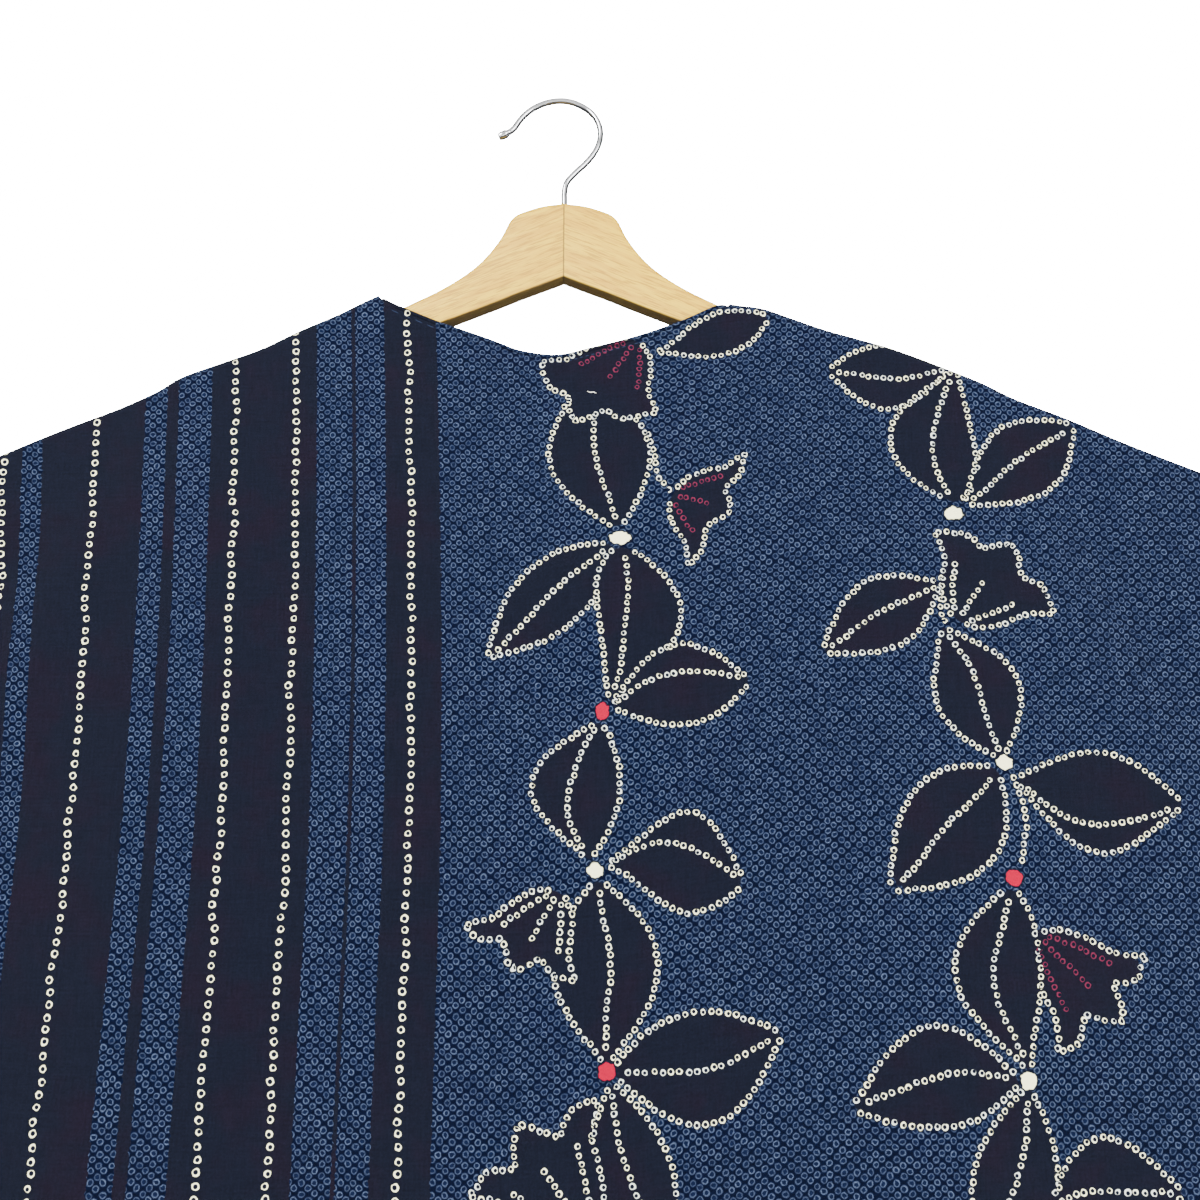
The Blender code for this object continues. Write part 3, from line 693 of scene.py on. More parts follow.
# %% The two vines: base, tip, width, bend, belly, wave, shift of the rib
LEAVES = (
    ((29, -252), (13, -166), 52, 2, 0.48, 1.0),
    ((26, -261), (-37, -321), 36, -1.5, 0.46, 0.6),
    ((31, -262), (24, -342), 43, 12, 0.40, 1.0, -5),
    ((25, -345), (95, -331), 42, 4.5, 0.54, 0.5, 6.5),
    ((20, -352), (15, -419), 44, -9.5, 0.50, 1.0, -4),
    ((22, -421), (89, -430), 47, 7, 0.60, 0.6, 7),
    ((19, -428), (23, -511), 50, 1.5, 0.48, 1.1),
    ((26, -514), (105, -497), 50, -7, 0.48, 0.6),
    ((25, -518), (48, -600), 40, -3, 0.52, 0.9),
    ((202, -238), (209, -164), 45, 12, 0.40, 0.8),
    ((208, -240), (270, -194), 42, 1, 0.55, 0.7),
    ((193, -281), (131, -317), 36, -1.5, 0.50, 0.6),
    ((217, -370), (192, -304), 43, -3, 0.48, 1.1),
    ((214, -375), (158, -433), 49, 2, 0.45, 1.0),
    ((223, -380), (304, -392), 48, -5, 0.52, 0.7, -11),
    ((216, -432), (218, -514), 41, -10.5, 0.43, 1.0),
    ((213, -518), (135, -530), 44, -8, 0.48, 0.7),
    ((217, -521), (192, -606), 39, 2, 0.48, 1.0),
)
NECK_LEAVES = (
    ((49, -155), (111, -134), 25, -1, 0.62, 0.0),
    ((206, -164), (140, -165), 37, 4, 0.55, 0.6),
)
RIGHT_LEAF = ((223, -571), (284, -566), 44, 4, 0.45, 0.7)
FLOWERS = (
    ((57, -234), (79.5, -241), 63, "stamen", 0.45),
    ((0, -433), (-17, -460), 54, "leaf", -0.2),
    ((15, -583), (-9, -548), 66, "leaf"),
    ((200, -301), (219.5, -277), 67, "leaf", -0.08, 0.34),
)
BACK_FLOWERS = (((226, -453), (254, -483), 58, "stamen"),)
NECK_FLOWERS = (((39, -147.5), (20, -173), 61, "stamen", -0.41, 0.45),)
STEMS = (
    ((45, -199), (48, -212), (50, -224), (57, -233)),
    ((195, -277), (192, -289), (192, -296), (194, -303)),
    ((221, -377), (225, -390), (226, -403), (222, -421)),
)
# Knots: across, height, half width, half height, and -1 for white or 1 for red
KNOTS = (
    (30, -257.5, 5.1, 3.3, -1), (21, -347, 3.3, 4.1, 1), (17.5, -423.5, 3.7, 3.5, -1),
    (23, -514, 4.0, 3.9, 1), (202, -244, 4.7, 3.4, -1), (218, -372, 3.9, 3.5, -1),
    (218, -427, 4.1, 3.7, 1), (217, -518, 3.6, 4.0, -1),
)
REPEAT = -455.0  # the vines come again this much lower down

# %% Draw the vines
for drop in (0.0, REPEAT):
    shift = np.array([0.0, drop])
    for base, mouth, *shape in BACK_FLOWERS:
        add_flower(base + shift, mouth + shift, *shape)
    for base, tip, *shape in LEAVES + NECK_LEAVES:
        add_leaf(base + shift, tip + shift, *shape)
    for base, mouth, *shape in FLOWERS + NECK_FLOWERS:
        add_flower(base + shift, mouth + shift, *shape)
    for stem in STEMS:
        add_chain(soft_line(stem + shift), "leaf")
    for x, z, *shape in KNOTS:
        pattern["knots"].append((x, z + drop, *shape))
add_leaf(*RIGHT_LEAF)

# %% Draw the lines of rings between the stripes
LINES = (-340.0, -281.4, -237.0, -163.5, -131.5, -71.8)
LINE_TOP = -90.0
LINE_END = -1030.0
LINE_STEP = 11.0
WOBBLE = 0.55
for line_x in LINES:
    z = np.arange(LINE_TOP, LINE_END, -LINE_STEP)
    wobble = dice.normal(0.0, WOBBLE, len(z))
    points = np.stack([line_x + wobble - lean_at(line_x, z), z], axis=1)
    add_chain(soft_line(points, step=4.0), "line")

# %% Number the rings
CHAIN_END = 8.0  # a chain's own line runs on this far past its last ring
BLOCK = 100  # each chain numbers its rings from the start of one of these blocks
BLOCKS = 38
BLOCK_START = 20
chains = []
for number, (line, kind) in enumerate(pattern["lines"]):
    first = line[0] - line[1]
    last = line[-1] - line[-2]
    first = first / np.linalg.norm(first) * CHAIN_END
    last = last / np.linalg.norm(last) * CHAIN_END
    length = float(np.linalg.norm(np.diff(line, axis=0), axis=1).sum())
    chains.append({
        "line": np.concatenate([[line[0] + first], line, [line[-1] + last]]),
        "length": length,
        "rings": max(1, round(length / RING_PITCH[kind])),
        "start": KIND_START[kind] + (number * 7 % BLOCKS) * BLOCK + BLOCK_START,
    })
print(f"{len(chains)} chains, {len(pattern['patches'])} leaves and flowers")

# %% Distance from points to a chain
SLOTS = 3  # how many chains one face can carry
REACH = 5.6  # a face carries the chains that pass this close to its middle


def close_to(points, shape, reach):
    """Numbers of the points that lie in a shape's box, with a margin round it."""
    inside = (points > shape.min(0) - reach) & (points < shape.max(0) + reach)
    return np.flatnonzero(inside.all(axis=1))


def nearest_chains(centres):
    """For each face, the numbers of the chains that pass closest, nearest first."""
    best = np.full((SLOTS, len(centres)), REACH)
    who = np.full((SLOTS, len(centres)), -1)
    for number, chain in enumerate(chains):
        line = chain["line"]
        near = close_to(centres, line, REACH)
        if not len(near):
            continue
        gap = np.abs(beside(centres[near], line)[0])
        mine = np.full(len(near), number)
        for slot in range(SLOTS):
            better = gap < best[slot, near]
            old_gap = best[slot, near]
            old_who = who[slot, near]
            best[slot, near] = np.where(better, gap, old_gap)
            who[slot, near] = np.where(better, mine, old_who)
            gap = np.where(better, old_gap, gap)
            mine = np.where(better, old_who, mine)
    return who


# %% How deep inside a leaf a point is
PATCH_REACH = 6.0


def inside_patches(points):
    """Distance inside the nearest leaf or flower, negative outside, no lower than -PATCH_REACH."""
    deepest = np.full(len(points), -PATCH_REACH)
    for patch in pattern["patches"]:
        near = close_to(points, patch, PATCH_REACH)
        if len(near):
            deepest[near] = np.maximum(deepest[near], depth_inside(points[near], patch))
    return deepest


# %% Put the pattern on a sheet
KNOT_REACH = 14.0
NO_KNOT = 20.0
NO_CHAIN = (50.0, 0.0, -5.0)  # far off, no number, and past the chain's end


def write_values(mesh, name, kind, domain, values):
    """Stores numbers on a mesh under a name that the material reads."""
    attribute = mesh.attributes.new(name, kind, domain)
    field = "value" if kind == "FLOAT" else "vector"
    attribute.data.foreach_set(field, np.ascontiguousarray(values, np.float32).ravel())


def print_on(mesh, place):
    """Gives a mesh the pattern. place is each vertex's (across, height) on the printed cloth."""
    corners = np.zeros(len(mesh.loops), np.int32)
    mesh.loops.foreach_get("vertex_index", corners)
    totals = np.zeros(len(mesh.polygons), np.int32)
    mesh.polygons.foreach_get("loop_total", totals)
    starts = np.concatenate([[0], np.cumsum(totals)[:-1]])
    face = np.repeat(np.arange(len(totals)), totals)
    at = place[corners]
    centres = np.add.reduceat(at, starts, axis=0) / totals[:, None]

    who = nearest_chains(centres)
    for slot in range(SLOTS):
        values = np.tile(NO_CHAIN, (len(at), 1))
        owner = who[slot][face]
        for number in np.unique(owner[owner >= 0]):
            chain = chains[number]
            mine = np.flatnonzero(owner == number)
            gap, along = beside(at[mine], chain["line"])
            rings = (along - CHAIN_END) / chain["length"] * chain["rings"]
            left = np.minimum(rings, chain["rings"] - rings)
            values[mine] = np.stack([gap, rings + chain["start"], left], axis=1)
        write_values(mesh, f"chain_{slot + 1}", "FLOAT_VECTOR", "CORNER", values)

    knots = np.array(pattern["knots"], float)
    gaps = np.linalg.norm(centres[:, None] - knots[None, :, :2], axis=2)
    nearest = np.argmin(gaps, axis=1)
    mine = knots[nearest[face]]
    offset = (at - mine[:, :2]) / mine[:, 2:4]
    close = (gaps.min(axis=1) < KNOT_REACH)[face]
    values = np.concatenate([np.where(close[:, None], offset, NO_KNOT), mine[:, 4:]], axis=1)
    write_values(mesh, "knot", "FLOAT_VECTOR", "CORNER", values)
    write_values(mesh, "patch", "FLOAT", "POINT", inside_patches(place))

    flat = mesh.uv_layers.new(name="flat_cloth")
    u = at[:, 0] + lean_at(at[:, 0], at[:, 1])
    v = at[:, 1] - tilt_at(at[:, 0])
    flat.data.foreach_set("uv", (np.stack([u, v], axis=1) * MM).astype(np.float32).ravel())
    print(f"{mesh.name}: {int((who[0] >= 0).sum())} of {len(totals)} faces carry rings")


# %% [markdown]
# ## Cut and hang the five pieces of cloth
#
# The back, two fronts and two sleeves are straight pieces of the same printed cloth. On the back the
# pattern lies where it is seen. The fronts and sleeves show other parts of it, as they would when all
# are cut from one roll.

# %% Cut, print and mark one piece of cloth
FAR = 90.0  # stands for no seam or no hem near by


def piece_of_cloth(name, grid, printed, seam_gap, hem_gap):
    """A printed sheet that stores each vertex's distance from the nearest seam and hem, in millimetres."""
    made, order, area = sheet_of_cloth(name, grid)
    column, row = order.T
    print_on(made.data, printed[column, row])
    write_values(made.data, "seam", "FLOAT", "POINT", seam_gap[column, row])
    write_values(made.data, "hem", "FLOAT", "POINT", hem_gap[column, row])
    return made, area


def height_on_cloth(grid, down):
    """Height on the cloth as it was printed: it runs on over the fold at the shoulder."""
    x = grid[..., 0]
    radius = roll_radius(x)
    flat = ROLL_FLAT * radius
    over = flat + (radius - flat) * (math.pi / 2 - 1.0)
    return ridge(x) - down + over


# %% The back
grid, down = back_grid()
printed = np.stack([grid[..., 0], height_on_cloth(grid, down)], axis=-1)
in_neck = (grid[:, 0, 0] > NECK_LEFT) & (grid[:, 0, 0] < NECK_RIGHT)
from_top = down - down[:, :1]
to_side = np.minimum(grid[..., 0] - SIDE_LEFT, SIDE_RIGHT - grid[..., 0])
seam_gap = np.minimum(to_side, np.where(in_neck[:, None], FAR, from_top))
hem_gap = np.minimum(down[:, -1:] - down, np.where(in_neck[:, None], from_top, FAR))
back, back_area = piece_of_cloth("jacket_back", grid, printed, seam_gap, hem_gap)
neck_edge = grid[in_neck, 0]
neck_inner = grid[in_neck, 3]

# %% The two fronts
FRONT_SHIFT = -60.0
fronts = []
front_edges = []
for side_name, neck in (("left", NECK_LEFT), ("right", NECK_RIGHT)):
    grid, down = front_grid(neck)
    printed = np.stack([grid[..., 0], height_on_cloth(grid, down) + FRONT_SHIFT], axis=-1)
    seam_gap = np.minimum(np.abs(grid[..., 0] - side_of(neck)), down)
    hem_gap = np.minimum(np.abs(grid[..., 0] - grid[-1:, :, 0]), down[:, -1:] - down)
    fronts.append(piece_of_cloth(f"jacket_front_{side_name}", grid, printed, seam_gap, hem_gap))
    front_edges.append((grid[-1], grid[-3]))

# %% The two sleeves
SLEEVE_TOP = -420.0  # height on the printed cloth that lies on the sleeve's fold
SLEEVE_START = {"left": (SIDE_LEFT, 290.0), "right": (SIDE_RIGHT, -357.0)}
sleeves = []
for side_name, (side, shift) in SLEEVE_START.items():
    grid, down = sleeve_grid(side)
    outs = np.repeat(np.linspace(0.0, 1.0, RINGS)[:, None], grid.shape[1], axis=1)
    across = side + math.copysign(1.0, side) * outs * SLEEVE_OUT + shift
    printed = np.stack([across, SLEEVE_TOP + down], axis=-1)
    seam_gap = np.minimum(outs * SLEEVE_OUT, down.max() - np.abs(down))
    hem_gap = (1.0 - outs) * SLEEVE_OUT
    sleeves.append(piece_of_cloth(f"jacket_sleeve_{side_name}", grid, printed, seam_gap, hem_gap))

# %% [markdown]
# ## The rolled edge round the neck and down the fronts
#
# The raw edge of the cloth is rolled over and caught down with small stitches. It is a cord of cloth a
# little over 2 mm thick, so a round section swept along the edge makes it. It takes the pattern of the
# cloth beside it, as the real edge does.

# %% The route of the edge
EDGE_RADIUS = 1.15
EDGE_OUT = 0.55  # its middle lies this far outside the cut edge
OVER_TOP = 2.2


def route_beside(edge, inner):
    """The middle of the rolled edge beside a cut edge."""
    run = np.gradient(edge, axis=0)
    run /= np.linalg.norm(run, axis=1)[:, None]
    into = inner - edge
    into -= (into * run).sum(axis=1)[:, None] * run
    into /= np.linalg.norm(into, axis=1)[:, None]
    return edge - into * EDGE_OUT


def eased(points, rounds):
    """The same route with its small corners rounded off."""
    points = np.array(points)
    for _ in range(rounds):
        points[1:-1] = points[1:-1] * 0.5 + (points[:-2] + points[2:]) * 0.25
    return points


left = route_beside(*front_edges[0])
right = route_beside(*front_edges[1])
round_back = route_beside(neck_edge, neck_inner)
over_left = [[NECK_LEFT + EDGE_OUT, 0.0, float(ridge(NECK_LEFT))]]
over_right = [[NECK_RIGHT - EDGE_OUT, 0.0, float(ridge(NECK_RIGHT))]]
route = eased(np.concatenate([
    left[left[:, 1] > OVER_TOP][::-1], over_left, round_back[round_back[:, 1] < -OVER_TOP],
    over_right, right[right[:, 1] > OVER_TOP],
]), 2)
print(f"rolled edge: {len(route)} points")


# %% Sweep a round section along a line of points
def round_tube(name, points, radius, sides=3, swell=None):
    """A round tube through points in millimetres, made as a curve and turned into a mesh."""
    curve = bpy.data.curves.new(name, "CURVE")
    curve.dimensions = "3D"
    curve.bevel_depth = radius * MM
    curve.bevel_resolution = sides
    curve.use_fill_caps = True
    spline = curve.splines.new("POLY")
    spline.points.add(len(points) - 1)
    for k, point in enumerate(points):
        spline.points[k].co = (*(Vector(point) * MM), 1.0)
        spline.points[k].radius = 1.0 if swell is None else float(swell[k])
    shape = add_object(name + "_curve", curve)
    bpy.context.view_layer.update()
    mesh = bpy.data.meshes.new_from_object(shape.evaluated_get(bpy.context.evaluated_depsgraph_get()))
    bpy.data.objects.remove(shape)
    mesh.name = name
    mesh.shade_smooth()
    return add_object(name, mesh)


def vertex_places(mesh):
    """Across and height of each vertex, in millimetres."""
    co = np.zeros(len(mesh.vertices) * 3, np.float32)
    mesh.vertices.foreach_get("co", co)
    return co.reshape(-1, 3)[:, (0, 2)] / MM


rolled_edge = round_tube("rolled_edge", route, EDGE_RADIUS, sides=1)
print_on(rolled_edge.data, vertex_places(rolled_edge.data).astype(float))
for name, value in (("seam", FAR), ("hem", 0.0)):
    write_values(rolled_edge.data, name, "FLOAT", "POINT", np.full(len(rolled_edge.data.vertices), value))

# %% A tack of white thread below the neck
TACK = ((13.0, -176.8), (14.6, -177.4), (16.4, -177.2), (17.9, -177.9))
TACK_RADIUS = 0.27
TACK_OUT = 0.12  # its middle lies this far outside the cloth
OVER_FOLD = 4.4  # going over the fold adds about this much to the way along the cloth
tack_points = []
for x, z in TACK:
    at = body_point(np.array(x), np.array(ridge(x) - z + OVER_FOLD), "back")
    tack_points.append((x, float(at[1]) - CLOTH / 2 - TACK_OUT, z))
tack = round_tube("tack_stitch", tack_points, TACK_RADIUS, sides=2, swell=(0.5, 1.0, 1.0, 0.5))

# %% [markdown]
# ## The hanger
#
# Two boards are cut to one outline and glued where they meet, and a bent steel wire is screwed in
# between them. The outline is a short table. Filling it with a face, pushing the face through the
# board's thickness and bevelling the long edges gives the rounded wooden arm.

# %% Outline of an arm: across, top, underside
ARM_THICKNESS = 10.6
ARM_TOP_ROUND = 3.2
ARM_LOW_ROUND = 1.3
ARM_END_ROUND = 8.0
ARM_STEP = 4.0
TIP_TURN = 15  # degrees between points round the tip
SHARP_ANGLE = 40
JOINT = 0.04
STEEP = (22.0, 24.0, 26.0, 27.4, 28.6, 29.6, 30.6, 32.0, 33.8, 36.0, 38.0)  # points on the steep rise
ARM = (
    (0.0, -64.5, -109.6), (11.0, -66.0, -114.1), (20.0, -68.8, -117.7), (26.0, -71.4, -120.2),
    (29.6, -75.0, -121.8), (33.8, -84.0, -123.6), (40.4, -94.2, -126.4), (48.0, -102.8, -129.6),
    (59.0, -111.4, -134.1), (70.0, -118.2, -138.5), (82.0, -124.4, -143.2), (90.0, -128.6, -146.2),
    (100.0, -132.0, -149.6), (120.0, -138.2, -156.4), (141.0, -145.4, -163.4), (162.0, -153.2, -170.8),
    (183.0, -161.4, -178.2), (198.0, -167.6, -183.6),
)


def arm_outline():
    """Points round one arm, along its top, round its tip and back along its underside."""
    tip = ARM[-1][0]
    across = np.concatenate([
        [JOINT], np.arange(3.0, 21.0, 3.0), STEEP, np.arange(41.0, tip, ARM_STEP), [tip],
    ])
    top = line_through(ARM, 1)(across)
    low = line_through(ARM, 2)(across)
    middle = (top[-1] + low[-1]) / 2
    half = (top[-1] - low[-1]) / 2
    turns = np.radians(np.arange(75, -76, -TIP_TURN))
    end = [(tip + ARM_END_ROUND * math.cos(a), middle + half * math.sin(a)) for a in turns]
    return list(zip(across, top)) + end + list(zip(across[::-1], low[::-1]))


# %% Cut and round an arm
def long_edges(bm, upper):
    """Edges along the outline on both faces of the board, on its upper or its lower side."""
    found = []
    for edge in bm.edges:
        a, b = edge.verts
        along_face = abs(a.co.y - b.co.y) < 0.01 * MM
        walls = [face for face in edge.link_faces if abs(face.normal.y) < 0.5]
        joint = max(abs(a.co.x), abs(b.co.x)) < 0.1 * MM
        if along_face and walls and not joint and (walls[0].normal.z > 0.1) == upper:
            found.append(edge)
    return found


def hanger_arm(name, sign):
    bm = bmesh.new()
    verts = [bm.verts.new(Vector((sign * x, -ARM_THICKNESS / 2, z)) * MM) for x, z in arm_outline()]
    face = bm.faces.new(verts)
    moved = bmesh.ops.extrude_face_region(bm, geom=[face])["geom"]
    far_side = [item for item in moved if isinstance(item, bmesh.types.BMVert)]
    bmesh.ops.translate(bm, verts=far_side, vec=(0.0, ARM_THICKNESS * MM, 0.0))
    bmesh.ops.recalc_face_normals(bm, faces=bm.faces)
    bm.normal_update()
    for upper, size, segments in ((True, ARM_TOP_ROUND, 6), (False, ARM_LOW_ROUND, 3)):
        bmesh.ops.bevel(
            bm, geom=long_edges(bm, upper), offset=size * MM, offset_type="OFFSET",
            segments=segments, profile=0.5, affect="EDGES", material=-1,
        )
    made = piece_from(bm, name)
    made.data.set_sharp_from_angle(angle=math.radians(SHARP_ANGLE))
    # height above the underside line, which the wood material uses for painted shade
    place = vertex_places(made.data)
    above = place[:, 1] - line_through(ARM, 2)(np.minimum(np.abs(place[:, 0]), ARM[-1][0]))
    write_values(made.data, "above_underside", "FLOAT", "POINT", above)
    print(f"{name}: {len(made.data.polygons)} faces")
    return made


arm_left = hanger_arm("arm_left", -1.0)
arm_right = hanger_arm("arm_right", 1.0)

# %% The hook: across, height
HOOK = (
    (0.0, -90.0), (0.0, -62.0), (0.0, -57.0), (1.2, -50.0), (6.0, -43.8), (12.0, -37.6), (17.0, -30.6),
    (19.6, -23.8), (20.0, -17.4), (18.4, -11.4), (15.2, -6.4), (10.6, -2.5), (4.4, 0.6), (-2.4, 1.7),
    (-10.0, 0.6), (-17.0, -2.6), (-22.4, -7.0), (-26.0, -11.6), (-28.6, -15.8), (-32.0, -18.6),
    (-37.0, -21.2),
)
WIRE_RADIUS = 1.7
TIP_LENGTH = 5.6  # the last stretch of the wire is thicker
TIP_CHANGE = 0.8
TIP_SWELL = 0.38
TIP_ROUND = 1.6
bend = soft_line(HOOK, step=1.2)
hook_points = [(x, 0.0, z) for x, z in bend]
left_over = np.linspace(1.0, 0.0, len(bend)) * np.linalg.norm(np.diff(bend, axis=0), axis=1).sum()
thicker = smooth((TIP_LENGTH - left_over) / TIP_CHANGE)
tip_swell = 1.0 + TIP_SWELL * thicker * np.sqrt(np.clip(left_over / TIP_ROUND, 0.05, 1.0))
hook = round_tube("hook_wire", hook_points, WIRE_RADIUS, sides=5, swell=tip_swell)
print(f"hook: {len(hook.data.polygons)} faces")

# %% [markdown]
# ## Small tools for materials
#
# A material is a net of nodes. Writing each node out takes many lines, so a few helpers add one node
# each and give back its output. A value may be a number or another node's output.


# %% Helpers that add a node
def feed(tree, socket, value):
    """Sets a socket to a number or colour, or links an output to it."""
    if isinstance(value, bpy.types.NodeSocket):
        tree.links.new(value, socket)
    elif value is not None:
        socket.default_value = value


def calc(tree, operation, a, b=None, c=None):
    """A Math node."""
    node = tree.nodes.new("ShaderNodeMath")
    node.operation = operation
    for socket, value in zip(node.inputs, (a, b, c)):
        feed(tree, socket, value)
    return node.outputs[0]


def times(tree, a, b):
    return calc(tree, "MULTIPLY", a, b)


def plus(tree, a, b):
    return calc(tree, "ADD", a, b)


def minus(tree, a, b):
    return calc(tree, "SUBTRACT", a, b)


def swing(tree, value, width):
    """Turns a number from 0 to 1 into one from -width / 2 to width / 2."""
    return calc(tree, "MULTIPLY_ADD", value, width, -width / 2)


def vector_calc(tree, operation, a, b=None, factor=None):
    """A Vector Math node. LENGTH gives its number, and the others give a vector."""
    node = tree.nodes.new("ShaderNodeVectorMath")
    node.operation = operation
    feed(tree, node.inputs[0], a)
    feed(tree, node.inputs[1], b)
    if factor is not None:
        feed(tree, node.inputs["Scale"], factor)
    return node.outputs["Value" if operation == "LENGTH" else "Vector"]


def scaled(tree, vector, factor):
    return vector_calc(tree, "SCALE", vector, factor=factor)


def length_of(tree, vector):
    return vector_calc(tree, "LENGTH", vector)


def blend(tree, share, a, b, kind="VECTOR"):
    """A Mix node: a where share is 0, b where it is 1. kind is VECTOR or RGBA."""
    node = tree.nodes.new("ShaderNodeMix")
    node.data_type = kind
    first, result = {"VECTOR": (4, 1), "RGBA": (6, 2)}[kind]
    feed(tree, node.inputs[0], share)
    feed(tree, node.inputs[first], a)
    feed(tree, node.inputs[first + 1], b)
    return node.outputs[result]


def tint(tree, share, color, over):
    """One colour, with another laid over it where share is 1."""
    return blend(tree, share, color, over, "RGBA")


def ramp(tree, value, low, high, to_low=0.0, to_high=1.0):
    """A Map Range node with soft ends."""
    node = tree.nodes.new("ShaderNodeMapRange")
    node.interpolation_type = "SMOOTHSTEP"
    for socket, number in zip(node.inputs, (value, low, high, to_low, to_high)):
        feed(tree, socket, number)
    return node.outputs[0]


def noise(tree, vector, scale, detail=2.0, rough=0.5, color=False):
    """A Noise Texture, as a number or as three numbers."""
    node = tree.nodes.new("ShaderNodeTexNoise")
    feed(tree, node.inputs["Vector"], vector)
    feed(tree, node.inputs["Scale"], scale)
    feed(tree, node.inputs["Detail"], detail)
    feed(tree, node.inputs["Roughness"], rough)
    return node.outputs["Color" if color else "Fac"]


def random_by(tree, dimensions, socket, value):
    """A White Noise Texture: three random numbers that belong to a value."""
    node = tree.nodes.new("ShaderNodeTexWhiteNoise")
    node.noise_dimensions = dimensions
    feed(tree, node.inputs[socket], value)
    return node.outputs["Color"]


def parts_of(tree, vector):
    """The three numbers of a vector."""
    node = tree.nodes.new("ShaderNodeSeparateXYZ")
    feed(tree, node.inputs[0], vector)
    return node.outputs


def vector_of(tree, x, y, z=0.0):
    node = tree.nodes.new("ShaderNodeCombineXYZ")
    for socket, value in zip(node.inputs, (x, y, z)):
        feed(tree, socket, value)
    return node.outputs[0]


def stored(tree, name):
    """The Attribute node for numbers kept on the mesh."""
    node = tree.nodes.new("ShaderNodeAttribute")
    node.attribute_name = name
    return node.outputs


def object_place(tree):
    return tree.nodes.new("ShaderNodeTexCoord").outputs["Object"]


# %% Start a material, and raise its surface
def new_material(name):
    """A new material, its net of nodes and its shader."""
    made = bpy.data.materials.new(name)
    made.use_nodes = True
    return made, made.node_tree, made.node_tree.nodes["Principled BSDF"]


def bump(tree, shader, height, distance, strength=1.0):
    """A Bump node on the shader's Normal. distance is in metres."""
    node = tree.nodes.new("ShaderNodeBump")
    feed(tree, node.inputs["Distance"], distance)
    feed(tree, node.inputs["Strength"], strength)
    feed(tree, node.inputs["Height"], height)
    feed(tree, shader.inputs["Normal"], node.outputs[0])


# %% Make and use a node group
def new_group(name, inputs, outputs):
    """An empty node group. inputs and outputs are tables of name and socket type."""
    group = bpy.data.node_groups.new(name, "ShaderNodeTree")
    for label, kind in inputs:
        group.interface.new_socket(label, in_out="INPUT", socket_type=kind)
    for label, kind in outputs:
        group.interface.new_socket(label, in_out="OUTPUT", socket_type=kind)
    start = group.nodes.new("NodeGroupInput").outputs
    end = group.nodes.new("NodeGroupOutput").inputs
    return group, start, end


def use_group(tree, group, **values):
    """Places a group in a material. Underscores in the names stand for spaces."""
    node = tree.nodes.new("ShaderNodeGroup")
    node.node_tree = group
    for label, value in values.items():
        feed(tree, node.inputs[label.replace("_", " ")], value)
    return node.outputs


def give_out(group, made, **values):
    """Links a group's results to its outputs."""
    for label, value in values.items():
        feed(group, made[label], value)


FLOAT = "NodeSocketFloat"
VECTOR = "NodeSocketVector"
HALF = (0.5, 0.5, 0.5)
TO_MM = 1000.0  # millimetres in a metre

# %% [markdown]
# ## One bound ring
#
# Each ring is where thread held the cloth tight: pale, thick-walled, a little square, with a dark spot
# off its middle, and never twice the same. The group below gets a place along and across a chain. It
# splits the chain into cells, one ring to a cell, and shifts and dents each ring by its cell's own
# random numbers.

# %% Group: bound ring
STRAY_ALONG = 0.7  # a ring lies anywhere in a stretch this long, in millimetres
STRAY_ACROSS = 0.8
DENT = 1.1  # how uneven a ring's outline is
DENT_SCALE = 0.55
RING_SOFT = 0.16  # its edge fades over this distance on each side
HOLE_SHARE = 0.62  # radius of the dark spot, as a share of the ring's
HOLE_STRAY = (0.5, 0.5, 0.0)
HALO = 1.1  # the dark round a ring ends this far out
ring_group, given, made = new_group(
    "bound ring",
    (("Across", FLOAT), ("Rings", FLOAT), ("Pitch", FLOAT), ("Radius", FLOAT)),
    (("Ring", FLOAT), ("Spot", FLOAT), ("Halo", FLOAT), ("Chance", FLOAT)),
)
cell = calc(ring_group, "FLOOR", given["Rings"])
share = minus(ring_group, calc(ring_group, "FRACT", given["Rings"]), 0.5)
along = times(ring_group, share, given["Pitch"])
dice_throw = random_by(ring_group, "1D", "W", cell)
chance = parts_of(ring_group, dice_throw)
x = plus(ring_group, along, swing(ring_group, chance[0], STRAY_ALONG))
y = plus(ring_group, given["Across"], swing(ring_group, chance[1], STRAY_ACROSS))
from_middle = vector_of(ring_group, x, y)
dents = noise(ring_group, vector_of(ring_group, x, y, cell), DENT_SCALE, 1.0)
away = plus(ring_group, length_of(ring_group, from_middle), swing(ring_group, dents, DENT))
radius = times(ring_group, given["Radius"], calc(ring_group, "MULTIPLY_ADD", chance[2], 0.22, 0.9))
outside = minus(ring_group, away, radius)
hole_place = vector_calc(ring_group, "SUBTRACT", dice_throw, HALF)
hole_place = vector_calc(ring_group, "MULTIPLY", hole_place, HOLE_STRAY)
hole = length_of(ring_group, vector_calc(ring_group, "ADD", hole_place, from_middle))
past_hole = minus(ring_group, hole, times(ring_group, radius, HOLE_SHARE))
spot = ramp(ring_group, past_hole, RING_SOFT, -RING_SOFT)
inside = ramp(ring_group, outside, RING_SOFT, -RING_SOFT)
ring = times(ring_group, inside, minus(ring_group, 1.0, spot))
halo = ramp(ring_group, outside, HALO, 0.1)
give_out(ring_group, made, Ring=ring, Spot=spot, Halo=halo, Chance=chance[1])
print("bound ring:", len(ring_group.nodes), "nodes")

# %% [markdown]
# ## The ground of small rings
#
# Between the vines the cloth is filled with small pale rings in slanting rows, about four millimetres
# from one ring to the next. Every other row is shifted by half a step, so the group looks at the nearest
# point of two plain grids and takes the closer one.

